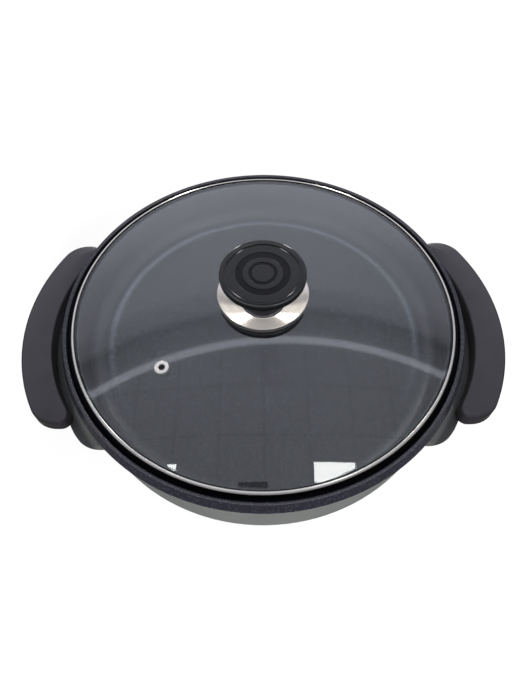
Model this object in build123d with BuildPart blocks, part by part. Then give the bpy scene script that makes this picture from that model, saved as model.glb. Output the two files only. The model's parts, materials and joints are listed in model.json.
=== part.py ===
from build123d import *

import os
from math import acos, cos, degrees, radians, sin, sqrt

# Round electric griddle: a non-stick pan in a grey base on four feet, with two crescent
# handles, an inlet for a plug-in thermostat probe and a lift-off glass lid with a knob.
# Millimetres. z = 0 is the table and +Z is up, the handles stand on the X axis, and the
# inlet looks along +Y. Radii without a place are measured from the pan's own axis.

# Base shell, a tapered ring with a lug on each side for the handle
FOOT_HEIGHT = 5.0
BASE_HEIGHT = 65.5
BASE_TAPER = 7.7
BASE_WALL = 2.5
BASE_FLANGE_WIDTH = 12.2
BASE_FLANGE_THICK = 2.5
BASE_EDGE_ROUND = 1.2
LUG_REACH = 11.5
LUG_HALF_WIDTH = 121.0
LUG_CORNER = 28.0
LUG_DEPTH = 9.0
LUG_SKIN = 3.0
TONGUE_HALF_WIDTH = 62.0
TONGUE_CORNER = 10.0
TONGUE_INSET = 8.0

# Pan
PAN_DEPTH = 41.8
PAN_FLOOR = 4.0
PAN_WALL = 3.2
PAN_WALL_TAPER = 3.5
PAN_CORNER = 14.0
RIM_WIDTH = 4.9
RIM_CROWN = 0.8
RIM_EDGE_ROUND = 1.2
SKIRT_HEIGHT = 10.5
SKIRT_FLARE = 3.6
SKIRT_LAND = 5.0
SKIRT_LIP = 2.0
LID_SEAT_DEPTH = 4.2
LID_SEAT_LAND = 6.0

# Heating element, clamped under a ring rib of the pan
ELEMENT_INSET = 20.0
ELEMENT_TUBE = 3.5
ELEMENT_BEND = 14.0
RIB_WIDTH = 16.0
RIB_DEPTH = 7.0
CLAMP_ANGLES = (0, 180, 240, 300)
CLAMP_REACH = 18.0
CLAMP_END = 4.0
CLAMP_WIDTH = 12.0
CLAMP_SHEET = 1.5
SADDLE_CLEARANCE = 0.25
CLAMP_BOSS_RADIUS = 5.0
CLAMP_SCREW_RADIUS = 1.5
CLAMP_SCREW_LENGTH = 7.0

# Inlet for the plug-in thermostat
PIN_HALF_SPACING = 13.0
PIN_RADIUS = 2.5
PIN_LENGTH = 30.0
PIN_ROOT_RADIUS = 2.0
PIN_SHOULDER_GAP = 0.5
PIN_TIP = 0.8
BUSH_RADIUS = 4.5
BUSH_LENGTH = 10.5
BUSH_STAND = 4.0
PROBE_TUBE_RADIUS = 4.2
PROBE_BORE_RADIUS = 3.6
PROBE_TUBE_STAND = 25.0
PROBE_BOSS_HALF_WIDTH = 7.0
PROBE_BOSS_LENGTH = 14.0
INLET_HALF_WIDTH = 30.0
INLET_HALF_HEIGHT = 10.0
INLET_WALL = 2.6
INLET_DEPTH = 34.7
INLET_BACK_WALL = 3.5
INLET_FRONT_STAND = 0.8
INLET_CORNER = 3.0
INLET_EAR_WIDTH = 12.0
INLET_EAR_LENGTH = 11.0
EARTH_HALF_WIDTH = 4.0
EARTH_SHEET = 0.8
EARTH_STAND = 20.0

# Bottom plate, heat shield, spacers and feet
PLATE_INSET = 4.3
PLATE_SHEET = 1.5
PLATE_SCREW_INSET = 5.5
PLATE_SCREW_ANGLES = (30, 150, 210, 270, 330)
PLATE_BOSS_RADIUS = 4.0
PLATE_BOSS_HEIGHT = 6.0
VENT_COUNT = 16
VENT_INSET = 50.0
VENT_LENGTH = 44.0
VENT_WIDTH = 5.0
SHIELD_MARGIN = 11.0
SHIELD_SHEET = 0.8
SHIELD_HEIGHT = 5.5
SPACER_INSET = 22.0
SPACER_ANGLES = (45, 135, 225, 315)
SPACER_FOOT_RADIUS = 7.0
SPACER_RADIUS = 5.0
PAN_BOSS_RADIUS = 7.0
PAN_SCREW_RADIUS = 2.0
PAN_SCREW_BITE = 5.5
FOOT_INSET = 11.8
FOOT_ANGLES = {"foot_rear_right": 45, "foot_rear_left": 135, "foot_front_left": 225, "foot_front_right": 315}
FOOT_RADIUS = 9.0
FOOT_STEM = 3.0
FOOT_BULB = 4.4
FOOT_BULB_HEIGHT = 3.0
FOOT_BULB_CHAMFER = 1.5
FOOT_ROUND = 1.2

# Handles
HANDLE_HALF_LENGTH = 104.5
HANDLE_GAP = 12.0
HANDLE_WIDTH = 30.0
HANDLE_THICK = 16.5
HANDLE_DROP = 21.3
HANDLE_OUTER_ARC = 186.0
HANDLE_INNER_ARC = 162.3
HANDLE_OUTER_CORNER = 26.0
HANDLE_INNER_CORNER = 9.0
HANDLE_TOP_ROUND = 3.5
HANDLE_UNDER_ROUND = 1.5
HANDLE_SCREW_Y = (-40.0, 0.0, 40.0)
HANDLE_SCREW_RADIUS = 2.0
HANDLE_SCREW_BITE = 9.0
INSERT_RADIUS = 3.5
INSERT_LENGTH = 11.0
HANDLE_BOSS_RADIUS = 6.0

# Lid
LID_RADIUS = 180.0
LID_CLEARANCE = 3.5
LID_LIFT_GAP = 0.3
LID_RISE = 10.1
GLASS_THICK = 4.0
GLASS_HOLE_CLEARANCE = 1.2
RING_SHEET = 1.0
RING_COVER = 2.9
RING_ROUND = 2.2
RING_CHORDS = 3
EYELET_INSET = 68.2
EYELET_ANGLE = 217.0
EYELET_FLANGE_RADIUS = 6.6
EYELET_FLANGE_THICK = 1.3
EYELET_ROUND = 0.6
EYELET_BARREL_RADIUS = 3.3
EYELET_BORE_RADIUS = 2.6
EYELET_SWAGE_RADIUS = 4.8
EYELET_SWAGE_THICK = 0.8
GROMMET_RADIUS = 7.2
GROMMET_THICK = 0.6

# Lid knob, stacked on the glass along the pan's axis
KNOB_SCREW_RADIUS = 3.0
KNOB_SCREW_HEAD_RADIUS = 5.5
KNOB_SCREW_HEAD = 3.0
KNOB_SCREW_BITE = 11.0
KNOB_GASKET_RADIUS = 14.0
KNOB_GASKET_THICK = 0.8
KNOB_WASHER_RADIUS = 9.0
KNOB_WASHER_THICK = 1.2
SEAT_RADIUS = 40.0
SEAT_BEAD_WIDTH = 1.4
SEAT_BEAD_HEIGHT = 5.2
SEAT_BEAD_ROUND = 1.2
SEAT_WEB = 1.9
SEAT_WALL = 2.4
DISH_RADIUS = 41.85
DISH_CENTRE_RADIUS = 21.0
DISH_SHEET = 0.8
DISH_DEPTH = 13.5
DISH_BAND = 4.8
KNOB_HEIGHT = 40.2
KNOB_RADIUS = 38.4
KNOB_FOOT_RADIUS = 20.6
KNOB_FOOT_EDGE = 1.5
KNOB_WAIST_RADIUS = 13.0
KNOB_WAIST_HEIGHT = 14.5
KNOB_EDGE = 7.2
KNOB_EDGE_ROUND = 3.0
KNOB_EDGE_LAND = 0.2
KNOB_LIP = 1.2
KNOB_LIP_ROUND = 2.0
CAP_RADIUS = 32.8
CAP_THICK = 2.6
CAP_GROOVE_DEPTH = 0.8
CAP_GROOVES = ((9.6, 12.9), (17.7, 24.4))
NUT_RADIUS = 5.0
NUT_LENGTH = 15.0

# Fasteners and fits
SCREW_HOLE_CLEARANCE = 0.2
PRESS_CLEARANCE = 0.05
SLIP_CLEARANCE = 0.1
PANEL_CLEARANCE = 0.4
SMALL_SCREW_RADIUS = 1.5
SCREW_HEAD = 2.2
HEAD_CHAMFER = 0.7
HEAD_RATIO = 1.9
HOLE_BOTTOM_GAP = 1.0

# Heights worked out from the sizes above
base_bottom = FOOT_HEIGHT
base_top = base_bottom + BASE_HEIGHT
rim_ridge_z = base_top + SKIRT_HEIGHT
rim_top = rim_ridge_z + RIM_CROWN
lid_seat_z = rim_top - LID_SEAT_DEPTH
floor_top = rim_top - PAN_DEPTH
floor_under = floor_top - PAN_FLOOR
rib_bottom = floor_under - RIB_DEPTH
element_z = rib_bottom - ELEMENT_TUBE - SLIP_CLEARANCE
plate_top = base_bottom + PLATE_SHEET
flange_top = plate_top + BASE_FLANGE_THICK
shield_z = plate_top + SHIELD_HEIGHT
handle_top = rim_top - HANDLE_DROP
handle_bottom = handle_top - HANDLE_THICK

# Radii worked out from the sizes above
lid_seat_radius = LID_RADIUS + LID_CLEARANCE
ridge_radius = lid_seat_radius + RIM_WIDTH
skirt_radius = ridge_radius + SKIRT_FLARE
mouth_radius = LID_RADIUS - LID_SEAT_LAND
floor_radius = mouth_radius - PAN_WALL_TAPER
base_top_radius = skirt_radius - SKIRT_LIP
base_bottom_radius = base_top_radius - BASE_TAPER
plate_radius = base_bottom_radius - PLATE_INSET
flange_inner_radius = plate_radius - BASE_FLANGE_WIDTH
plate_screw_circle = plate_radius - PLATE_SCREW_INSET
foot_circle = flange_inner_radius - FOOT_INSET
spacer_circle = foot_circle - SPACER_INSET
element_radius = spacer_circle - ELEMENT_INSET
vent_circle = element_radius - VENT_INSET
shield_radius = spacer_circle + SHIELD_MARGIN


def base_radius(z):
    """Outer radius of the base wall at height z."""
    return base_bottom_radius + BASE_TAPER * (z - base_bottom) / BASE_HEIGHT


def polar(radius, angle):
    """Point on a circle about the pan's axis, with the angle counted from +X."""
    return (radius * cos(radians(angle)), radius * sin(radians(angle)))


def corner_at(x, y):
    """The vertex of the sketch being built that lies nearest to x, y."""
    return vertices().sort_by_distance((x, y))[0]


def facing_back(y):
    """Sketch plane at distance y behind the axis: X to the right and Z up."""
    return Plane.XZ.offset(-y)


def handle_centre(side):
    """Where the middle of the handle's outer and inner arcs lies on the X axis."""
    inner = skirt_radius + HANDLE_GAP - HANDLE_INNER_ARC
    outer = skirt_radius + HANDLE_GAP + HANDLE_WIDTH - HANDLE_OUTER_ARC
    return side * outer, side * inner


def handle_screw_points(side):
    """Screw positions along the middle of one handle."""
    middle = skirt_radius + HANDLE_GAP + HANDLE_WIDTH / 2
    bend = (HANDLE_OUTER_ARC + HANDLE_INNER_ARC) / 2
    return [(side * (middle - bend + sqrt(bend**2 - y**2)), y) for y in HANDLE_SCREW_Y]


def screws(points, head_bottom, radius, head_radius, head, length):
    """Screws that point up, as separate solids: a head with a hexagon socket, then a plain shank."""
    with BuildPart() as group:
        with BuildSketch(Plane.XY.offset(head_bottom)):
            with Locations(*points):
                Circle(head_radius)
        extrude(amount=head)
        chamfer(group.edges().filter_by(Plane.XY).group_by(Axis.Z)[0], HEAD_CHAMFER)
        with BuildSketch(Plane.XY.offset(head_bottom)):
            with Locations(*points):
                RegularPolygon(head_radius / 2, 6)
        extrude(amount=head / 2, mode=Mode.SUBTRACT)
        with BuildSketch(Plane.XY.offset(head_bottom + head)):
            with Locations(*points):
                Circle(radius)
        extrude(amount=length)
    return group


# Pan: one casting with a lid seat, a rim skirt, and a rib and bosses underneath
skirt_inner_radius = skirt_radius - SKIRT_LAND
wall_foot_radius = floor_radius + PAN_WALL
wall_head_radius = mouth_radius + PAN_WALL
ledge_under = lid_seat_z - PAN_WALL
clamp_points = [
    polar(element_radius + reach, angle) for angle in CLAMP_ANGLES for reach in (-CLAMP_REACH, CLAMP_REACH)
]
spacer_points = [polar(spacer_circle, angle) for angle in SPACER_ANGLES]
cavity_floor = element_z - INLET_HALF_HEIGHT + INLET_WALL
probe_boss_bottom = cavity_floor + EARTH_SHEET
probe_boss_start = element_radius + RIB_WIDTH / 2
probe_tube_start = probe_boss_start + HOLE_BOTTOM_GAP
inlet_back_y = base_radius(element_z) - INLET_DEPTH
element_end_y = inlet_back_y - BUSH_STAND
pin_root_length = BUSH_LENGTH + PIN_SHOULDER_GAP
probe_tube_length = inlet_back_y + PROBE_TUBE_STAND - probe_tube_start
earth_length = inlet_back_y + EARTH_STAND - probe_boss_start

with BuildPart() as griddle_pan:
    with BuildSketch(Plane.XZ):
        with BuildLine():
            Polyline(
                (0, floor_under),
                (wall_foot_radius, floor_under),
                (wall_head_radius, ledge_under),
                (skirt_inner_radius, ledge_under),
                (skirt_inner_radius, base_top),
                (skirt_radius, base_top),
                (ridge_radius, rim_ridge_z),
                (ridge_radius - RIM_CROWN, rim_top),
                (lid_seat_radius, rim_top),
                (lid_seat_radius, lid_seat_z),
                (mouth_radius, lid_seat_z),
                (floor_radius, floor_top),
                (0, floor_top),
                close=True,
            )
        make_face()
        fillet(corner_at(wall_foot_radius, floor_under), PAN_CORNER + PAN_WALL)
        fillet(corner_at(floor_radius, floor_top), PAN_CORNER)
        fillet(corner_at(lid_seat_radius, rim_top), RIM_EDGE_ROUND)
        fillet(corner_at(mouth_radius, lid_seat_z), RIM_EDGE_ROUND)
        fillet(corner_at(skirt_radius, base_top), RIM_EDGE_ROUND)
    revolve(axis=Axis.Z)
    with BuildSketch(Plane.XY.offset(floor_under)):
        Circle(element_radius + RIB_WIDTH / 2)
        Circle(element_radius - RIB_WIDTH / 2, mode=Mode.SUBTRACT)
        with Locations(*clamp_points):
            Circle(CLAMP_BOSS_RADIUS)
        with Locations(*spacer_points):
            Circle(PAN_BOSS_RADIUS)
    extrude(amount=-RIB_DEPTH)
    with BuildSketch(Plane.XY.offset(floor_under)):
        with Locations((0, probe_boss_start + PROBE_BOSS_LENGTH / 2)):
            Rectangle(2 * PROBE_BOSS_HALF_WIDTH, PROBE_BOSS_LENGTH)
    extrude(amount=probe_boss_bottom - floor_under)
    with BuildSketch(facing_back(probe_tube_start)):
        with Locations((0, element_z)):
            Circle(PROBE_TUBE_RADIUS + PRESS_CLEARANCE)
    extrude(amount=-PROBE_BOSS_LENGTH, mode=Mode.SUBTRACT)
    with BuildSketch(Plane.XY.offset(rib_bottom)):
        with Locations(*clamp_points):
            Circle(CLAMP_SCREW_RADIUS + PRESS_CLEARANCE)
    extrude(amount=CLAMP_SCREW_LENGTH - CLAMP_SHEET + HOLE_BOTTOM_GAP, mode=Mode.SUBTRACT)
    with BuildSketch(Plane.XY.offset(rib_bottom)):
        with Locations(*spacer_points):
            Circle(PAN_SCREW_RADIUS + PRESS_CLEARANCE)
    extrude(amount=PAN_SCREW_BITE + HOLE_BOTTOM_GAP, mode=Mode.SUBTRACT)

# Base shell: wall, bottom flange, and a lug with a screw tongue under each handle
plate_screw_points = [polar(plate_screw_circle, angle) for angle in PLATE_SCREW_ANGLES]
ear_x = INLET_HALF_WIDTH + INLET_EAR_WIDTH / 2
ear_y = sqrt(plate_screw_circle**2 - ear_x**2)
inlet_screw_points = [(-ear_x, ear_y), (ear_x, ear_y)]


def lug_outline(side, inset):
    """One lug and its tongue in plan, drawn smaller by the inset."""
    outer_centre, _ = handle_centre(side)
    reach = skirt_radius + HANDLE_GAP + HANDLE_WIDTH
    with BuildSketch(mode=Mode.PRIVATE) as lug:
        Circle(skirt_radius + LUG_REACH - inset)
        with Locations((side * reach / 2, 0)):
            Rectangle(reach, 2 * (LUG_HALF_WIDTH - inset), mode=Mode.INTERSECT)
        ends = lug.vertices().filter_by(lambda v: abs(v.X) > reach / 4)
        fillet(ends, LUG_CORNER - inset)
    with BuildSketch(mode=Mode.PRIVATE) as tongue:
        with Locations((outer_centre, 0)):
            Circle(HANDLE_OUTER_ARC - TONGUE_INSET - inset)
        with Locations((side * reach / 2, 0)):
            Rectangle(reach, 2 * (TONGUE_HALF_WIDTH - inset), mode=Mode.INTERSECT)
        ends = tongue.vertices().filter_by(lambda v: abs(v.X) > reach / 4)
        fillet(ends, TONGUE_CORNER - inset)
    return lug.sketch + tongue.sketch


lug_plans = {side: lug_outline(side, 0) for side in (-1, 1)}
lug_hollows = {side: lug_outline(side, LUG_SKIN) for side in (-1, 1)}

with BuildPart() as base_shell:
    with BuildSketch(Plane.XZ):
        with BuildLine():
            Polyline(
                (0, base_bottom),
                (base_bottom_radius, base_bottom),
                (base_top_radius, base_top),
                (0, base_top),
                close=True,
            )
        make_face()
        fillet(corner_at(base_bottom_radius, base_bottom), BASE_EDGE_ROUND)
    revolve(axis=Axis.Z)
    for side in (-1, 1):
        with BuildSketch(Plane.XY.offset(handle_bottom - LUG_DEPTH)):
            add(lug_plans[side])
        extrude(amount=LUG_DEPTH)
        with BuildSketch(Plane.XY.offset(handle_bottom - LUG_DEPTH)):
            add(lug_hollows[side])
            Circle(base_radius(handle_bottom), mode=Mode.SUBTRACT)
            with Locations(*handle_screw_points(side)):
                Circle(HANDLE_BOSS_RADIUS, mode=Mode.SUBTRACT)
        extrude(amount=LUG_DEPTH - LUG_SKIN, mode=Mode.SUBTRACT)
    with BuildSketch(Plane.XZ):
        with BuildLine():
            Polyline(
                (0, base_bottom),
                (plate_radius + PANEL_CLEARANCE, base_bottom),
                (plate_radius + PANEL_CLEARANCE, plate_top),
                (flange_inner_radius, plate_top),
                (flange_inner_radius, flange_top),
                (base_radius(flange_top) - BASE_WALL, flange_top),
                (base_top_radius - BASE_WALL, base_top),
                (0, base_top),
                close=True,
            )
        make_face()
    revolve(axis=Axis.Z, mode=Mode.SUBTRACT)
    with BuildSketch(Plane.XY.offset(flange_top)):
        with Locations(*plate_screw_points):
            Circle(PLATE_BOSS_RADIUS)
    extrude(amount=PLATE_BOSS_HEIGHT)
    with BuildSketch(Plane.XY.offset(plate_top)):
        with Locations(*plate_screw_points):
            Circle(SMALL_SCREW_RADIUS + PRESS_CLEARANCE)
    extrude(amount=BASE_FLANGE_THICK + PLATE_BOSS_HEIGHT, mode=Mode.SUBTRACT)
    with BuildSketch(Plane.XY.offset(plate_top)):
        with Locations(*inlet_screw_points):
            Circle(SMALL_SCREW_RADIUS + SCREW_HOLE_CLEARANCE)
    extrude(amount=BASE_FLANGE_THICK, mode=Mode.SUBTRACT)
    for side in (-1, 1):
        with BuildSketch(Plane.XY.offset(handle_bottom - LUG_DEPTH)):
            with Locations(*handle_screw_points(side)):
                Circle(HANDLE_SCREW_RADIUS + SCREW_HOLE_CLEARANCE)
        extrude(amount=LUG_DEPTH, mode=Mode.SUBTRACT)
    with BuildSketch(facing_back(inlet_back_y)):
        with Locations((0, element_z)):
            RectangleRounded(
                2 * (INLET_HALF_WIDTH + PANEL_CLEARANCE),
                2 * (INLET_HALF_HEIGHT + PANEL_CLEARANCE),
                INLET_CORNER + PANEL_CLEARANCE,
            )
    extrude(amount=inlet_back_y - base_top_radius, mode=Mode.SUBTRACT)

# Heating element: an open ring whose two ends turn back to the inlet
bend_x = PIN_HALF_SPACING + ELEMENT_BEND
bend_reach = element_radius + ELEMENT_BEND
bend_y = sqrt(bend_reach**2 - bend_x**2)
bend_angle = degrees(acos(bend_x / bend_reach))

with BuildPart() as heating_element:
    with BuildLine(Plane.XY.offset(element_z)) as sheath_path:
        Line((-PIN_HALF_SPACING, element_end_y), (-PIN_HALF_SPACING, bend_y))
        CenterArc((-bend_x, bend_y), ELEMENT_BEND, -bend_angle, bend_angle)
        CenterArc((0, 0), element_radius, 180 - bend_angle, 180 + 2 * bend_angle)
        CenterArc((bend_x, bend_y), ELEMENT_BEND, 180, bend_angle)
        Line((PIN_HALF_SPACING, bend_y), (PIN_HALF_SPACING, element_end_y))
    with BuildSketch(Plane((-PIN_HALF_SPACING, element_end_y, element_z), x_dir=(1, 0, 0), z_dir=(0, -1, 0))):
        Circle(ELEMENT_TUBE)
    sweep(path=sheath_path.wires()[0])

saddle_radius = ELEMENT_TUBE + SADDLE_CLEARANCE
saddle_outer = saddle_radius + CLAMP_SHEET
strip_top = rib_bottom - element_z

with BuildPart() as element_clamps:
    for angle in CLAMP_ANGLES:
        radial = (cos(radians(angle)), sin(radians(angle)), 0)
        middle = (element_radius * radial[0], element_radius * radial[1], element_z)
        with BuildSketch(Plane(middle, x_dir=radial, z_dir=(radial[1], -radial[0], 0))):
            Circle(saddle_outer)
            with Locations((0, saddle_outer)):
                Rectangle(2 * saddle_outer, 2 * saddle_outer, mode=Mode.SUBTRACT)
            with Locations((0, strip_top / 2)):
                Rectangle(2 * saddle_outer, strip_top)
            with Locations((0, strip_top - CLAMP_SHEET / 2)):
                Rectangle(2 * (CLAMP_REACH + CLAMP_END), CLAMP_SHEET)
            Circle(saddle_radius, mode=Mode.SUBTRACT)
            with Locations((0, strip_top / 2)):
                Rectangle(2 * saddle_radius, strip_top, mode=Mode.SUBTRACT)
        extrude(amount=CLAMP_WIDTH / 2, both=True)
    with BuildSketch(Plane.XY.offset(rib_bottom)):
        with Locations(*clamp_points):
            Circle(CLAMP_SCREW_RADIUS + SCREW_HOLE_CLEARANCE)
    extrude(amount=-CLAMP_SHEET, mode=Mode.SUBTRACT)

element_clamp_screws = screws(
    clamp_points,
    rib_bottom - CLAMP_SHEET - SCREW_HEAD,
    CLAMP_SCREW_RADIUS,
    CLAMP_SCREW_RADIUS * HEAD_RATIO,
    SCREW_HEAD,
    CLAMP_SCREW_LENGTH,
)

# Inlet: contact pins in insulating bushes, the probe's guide tube, earth strip, shroud
with BuildPart() as terminal_pins:
    with BuildSketch(facing_back(element_end_y)):
        with Locations((-PIN_HALF_SPACING, element_z), (PIN_HALF_SPACING, element_z)):
            Circle(PIN_ROOT_RADIUS)
    extrude(amount=-pin_root_length)
    with BuildSketch(facing_back(element_end_y + pin_root_length)):
        with Locations((-PIN_HALF_SPACING, element_z), (PIN_HALF_SPACING, element_z)):
            Circle(PIN_RADIUS)
    extrude(amount=pin_root_length - PIN_LENGTH)
    chamfer(terminal_pins.edges().filter_by(GeomType.CIRCLE).group_by(Axis.Y)[-1], PIN_TIP)

with BuildPart() as terminal_bushes:
    with BuildSketch(facing_back(element_end_y)):
        with Locations((-PIN_HALF_SPACING, element_z), (PIN_HALF_SPACING, element_z)):
            Circle(BUSH_RADIUS)
            Circle(PIN_ROOT_RADIUS + SLIP_CLEARANCE, mode=Mode.SUBTRACT)
    extrude(amount=-BUSH_LENGTH)

with BuildPart() as probe_guide:
    with BuildSketch(facing_back(probe_tube_start)):
        with Locations((0, element_z)):
            Circle(PROBE_TUBE_RADIUS)
            Circle(PROBE_BORE_RADIUS, mode=Mode.SUBTRACT)
    extrude(amount=-probe_tube_length)

with BuildPart() as earth_contact:
    with BuildSketch(Plane.XY.offset(cavity_floor)):
        with Locations((0, probe_boss_start + earth_length / 2)):
            Rectangle(2 * EARTH_HALF_WIDTH, earth_length)
    extrude(amount=EARTH_SHEET)

inlet_front_y = base_radius(element_z) + INLET_FRONT_STAND
inlet_length = inlet_front_y - inlet_back_y
ear_height = element_z - flange_top

with BuildPart() as inlet_shroud:
    with BuildSketch(facing_back(inlet_back_y)):
        with Locations((0, element_z)):
            RectangleRounded(2 * INLET_HALF_WIDTH, 2 * INLET_HALF_HEIGHT, INLET_CORNER)
    extrude(amount=-inlet_length)
    with BuildSketch(Plane.XY.offset(flange_top)):
        with Locations(*inlet_screw_points):
            Rectangle(INLET_EAR_WIDTH, INLET_EAR_LENGTH)
    extrude(amount=ear_height)
    with BuildSketch(facing_back(inlet_back_y + INLET_BACK_WALL)):
        with Locations((0, element_z)):
            RectangleRounded(
                2 * (INLET_HALF_WIDTH - INLET_WALL), 2 * (INLET_HALF_HEIGHT - INLET_WALL), INLET_CORNER
            )
    extrude(amount=-inlet_length, mode=Mode.SUBTRACT)
    with BuildSketch(facing_back(inlet_back_y)):
        with Locations((-PIN_HALF_SPACING, element_z), (PIN_HALF_SPACING, element_z)):
            Circle(BUSH_RADIUS + SLIP_CLEARANCE)
        with Locations((0, element_z)):
            Circle(PROBE_TUBE_RADIUS + SLIP_CLEARANCE)
        with Locations((0, cavity_floor + EARTH_SHEET / 2)):
            Rectangle(2 * (EARTH_HALF_WIDTH + SLIP_CLEARANCE), EARTH_SHEET + 2 * SLIP_CLEARANCE)
    extrude(amount=-INLET_BACK_WALL, mode=Mode.SUBTRACT)
    with BuildSketch(Plane.XY.offset(flange_top)):
        with Locations(*inlet_screw_points):
            Circle(SMALL_SCREW_RADIUS + PRESS_CLEARANCE)
    extrude(amount=ear_height - HOLE_BOTTOM_GAP, mode=Mode.SUBTRACT)

# Bottom plate, heat shield, spacers, feet and the screws that come up through them
foot_points = [polar(foot_circle, angle) for angle in FOOT_ANGLES.values()]

with BuildPart() as bottom_plate:
    with BuildSketch(Plane.XY.offset(base_bottom)):
        Circle(plate_radius)
        with Locations(*plate_screw_points, *inlet_screw_points):
            Circle(SMALL_SCREW_RADIUS + SCREW_HOLE_CLEARANCE, mode=Mode.SUBTRACT)
        with Locations(*spacer_points):
            Circle(PAN_SCREW_RADIUS + SCREW_HOLE_CLEARANCE, mode=Mode.SUBTRACT)
        with Locations(*foot_points):
            Circle(FOOT_STEM + SLIP_CLEARANCE, mode=Mode.SUBTRACT)
        with PolarLocations(vent_circle, VENT_COUNT):
            SlotOverall(VENT_LENGTH, VENT_WIDTH, mode=Mode.SUBTRACT)
    extrude(amount=PLATE_SHEET)

with BuildPart() as heat_shield:
    with BuildSketch(Plane.XY.offset(shield_z)):
        Circle(shield_radius)
        with Locations(*spacer_points):
            Circle(PAN_SCREW_RADIUS + SCREW_HOLE_CLEARANCE, mode=Mode.SUBTRACT)
    extrude(amount=SHIELD_SHEET)

upper_spacer_z = shield_z + SHIELD_SHEET

with BuildPart() as pan_spacers:
    with BuildSketch(Plane.XY.offset(plate_top)):
        with Locations(*spacer_points):
            Circle(SPACER_FOOT_RADIUS)
    extrude(amount=SHIELD_HEIGHT)
    with BuildSketch(Plane.XY.offset(upper_spacer_z)):
        with Locations(*spacer_points):
            Circle(SPACER_RADIUS)
    extrude(amount=rib_bottom - upper_spacer_z)
    with BuildSketch(Plane.XY.offset(plate_top)):
        with Locations(*spacer_points):
            Circle(PAN_SCREW_RADIUS + SCREW_HOLE_CLEARANCE)
    extrude(amount=rib_bottom - plate_top, mode=Mode.SUBTRACT)

pan_screws = screws(
    spacer_points,
    base_bottom - SCREW_HEAD,
    PAN_SCREW_RADIUS,
    PAN_SCREW_RADIUS * HEAD_RATIO,
    SCREW_HEAD,
    rib_bottom + PAN_SCREW_BITE - base_bottom,
)

bottom_plate_screws = screws(
    plate_screw_points,
    base_bottom - SCREW_HEAD,
    SMALL_SCREW_RADIUS,
    SMALL_SCREW_RADIUS * HEAD_RATIO,
    SCREW_HEAD,
    flange_top + PLATE_BOSS_HEIGHT - HOLE_BOTTOM_GAP - base_bottom,
)

inlet_screws = screws(
    inlet_screw_points,
    base_bottom - SCREW_HEAD,
    SMALL_SCREW_RADIUS,
    SMALL_SCREW_RADIUS * HEAD_RATIO,
    SCREW_HEAD,
    flange_top + ear_height - 2 * HOLE_BOTTOM_GAP - base_bottom,
)

feet = {}
for name, angle in FOOT_ANGLES.items():
    with BuildPart() as foot:
        with BuildSketch():
            with Locations(polar(foot_circle, angle)):
                Circle(FOOT_RADIUS)
        extrude(amount=FOOT_HEIGHT)
        fillet(foot.edges().group_by(Axis.Z)[0], FOOT_ROUND)
        with BuildSketch(Plane.XY.offset(base_bottom)):
            with Locations(polar(foot_circle, angle)):
                Circle(FOOT_STEM)
        extrude(amount=PLATE_SHEET)
        with BuildSketch(Plane.XY.offset(plate_top)):
            with Locations(polar(foot_circle, angle)):
                Circle(FOOT_BULB)
        extrude(amount=FOOT_BULB_HEIGHT)
        chamfer(foot.edges().group_by(Axis.Z)[-1], FOOT_BULB_CHAMFER)
    feet[name] = foot


# Handles: a crescent grip on each lug, with brass inserts for the screws from below
def make_handle(side):
    """One crescent handle with blind holes for its inserts."""
    outer_centre, inner_centre = handle_centre(side)
    reach = skirt_radius + HANDLE_GAP + HANDLE_WIDTH
    with BuildPart() as handle:
        with BuildSketch(Plane.XY.offset(handle_bottom)) as outline:
            with Locations((outer_centre, 0)):
                Circle(HANDLE_OUTER_ARC)
            with Locations((side * reach / 2, 0)):
                Rectangle(reach, 2 * HANDLE_HALF_LENGTH, mode=Mode.INTERSECT)
            with Locations((inner_centre, 0)):
                Circle(HANDLE_INNER_ARC, mode=Mode.SUBTRACT)
            corners = outline.vertices().filter_by(lambda v: abs(v.X) > reach / 2)
            outer_corners = corners.group_by(lambda v: abs(v.X))[-1]
            fillet(outer_corners, HANDLE_OUTER_CORNER)
            inner_x = side * (abs(inner_centre) + sqrt(HANDLE_INNER_ARC**2 - HANDLE_HALF_LENGTH**2))
            inner_corners = [corner_at(inner_x, y) for y in (-HANDLE_HALF_LENGTH, HANDLE_HALF_LENGTH)]
            fillet(inner_corners, HANDLE_INNER_CORNER)
        extrude(amount=HANDLE_THICK)
        fillet(handle.edges().group_by(Axis.Z)[-1], HANDLE_TOP_ROUND)
        fillet(handle.edges().group_by(Axis.Z)[0], HANDLE_UNDER_ROUND)
        with BuildSketch(Plane.XY.offset(handle_bottom)):
            with Locations(*handle_screw_points(side)):
                Circle(INSERT_RADIUS + PRESS_CLEARANCE)
        extrude(amount=INSERT_LENGTH + HOLE_BOTTOM_GAP, mode=Mode.SUBTRACT)
    return handle


def make_inserts(side):
    """The brass inserts of one handle, as separate solids."""
    with BuildPart() as inserts:
        with BuildSketch(Plane.XY.offset(handle_bottom)):
            with Locations(*handle_screw_points(side)):
                Circle(INSERT_RADIUS)
                Circle(HANDLE_SCREW_RADIUS + PRESS_CLEARANCE, mode=Mode.SUBTRACT)
        extrude(amount=INSERT_LENGTH)
    return inserts


def make_handle_screws(side):
    """The screws that come up through one lug into the inserts."""
    lug_bottom = handle_bottom - LUG_DEPTH
    return screws(
        handle_screw_points(side),
        lug_bottom - SCREW_HEAD,
        HANDLE_SCREW_RADIUS,
        HANDLE_SCREW_RADIUS * HEAD_RATIO,
        SCREW_HEAD,
        LUG_DEPTH + HANDLE_SCREW_BITE,
    )


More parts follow.
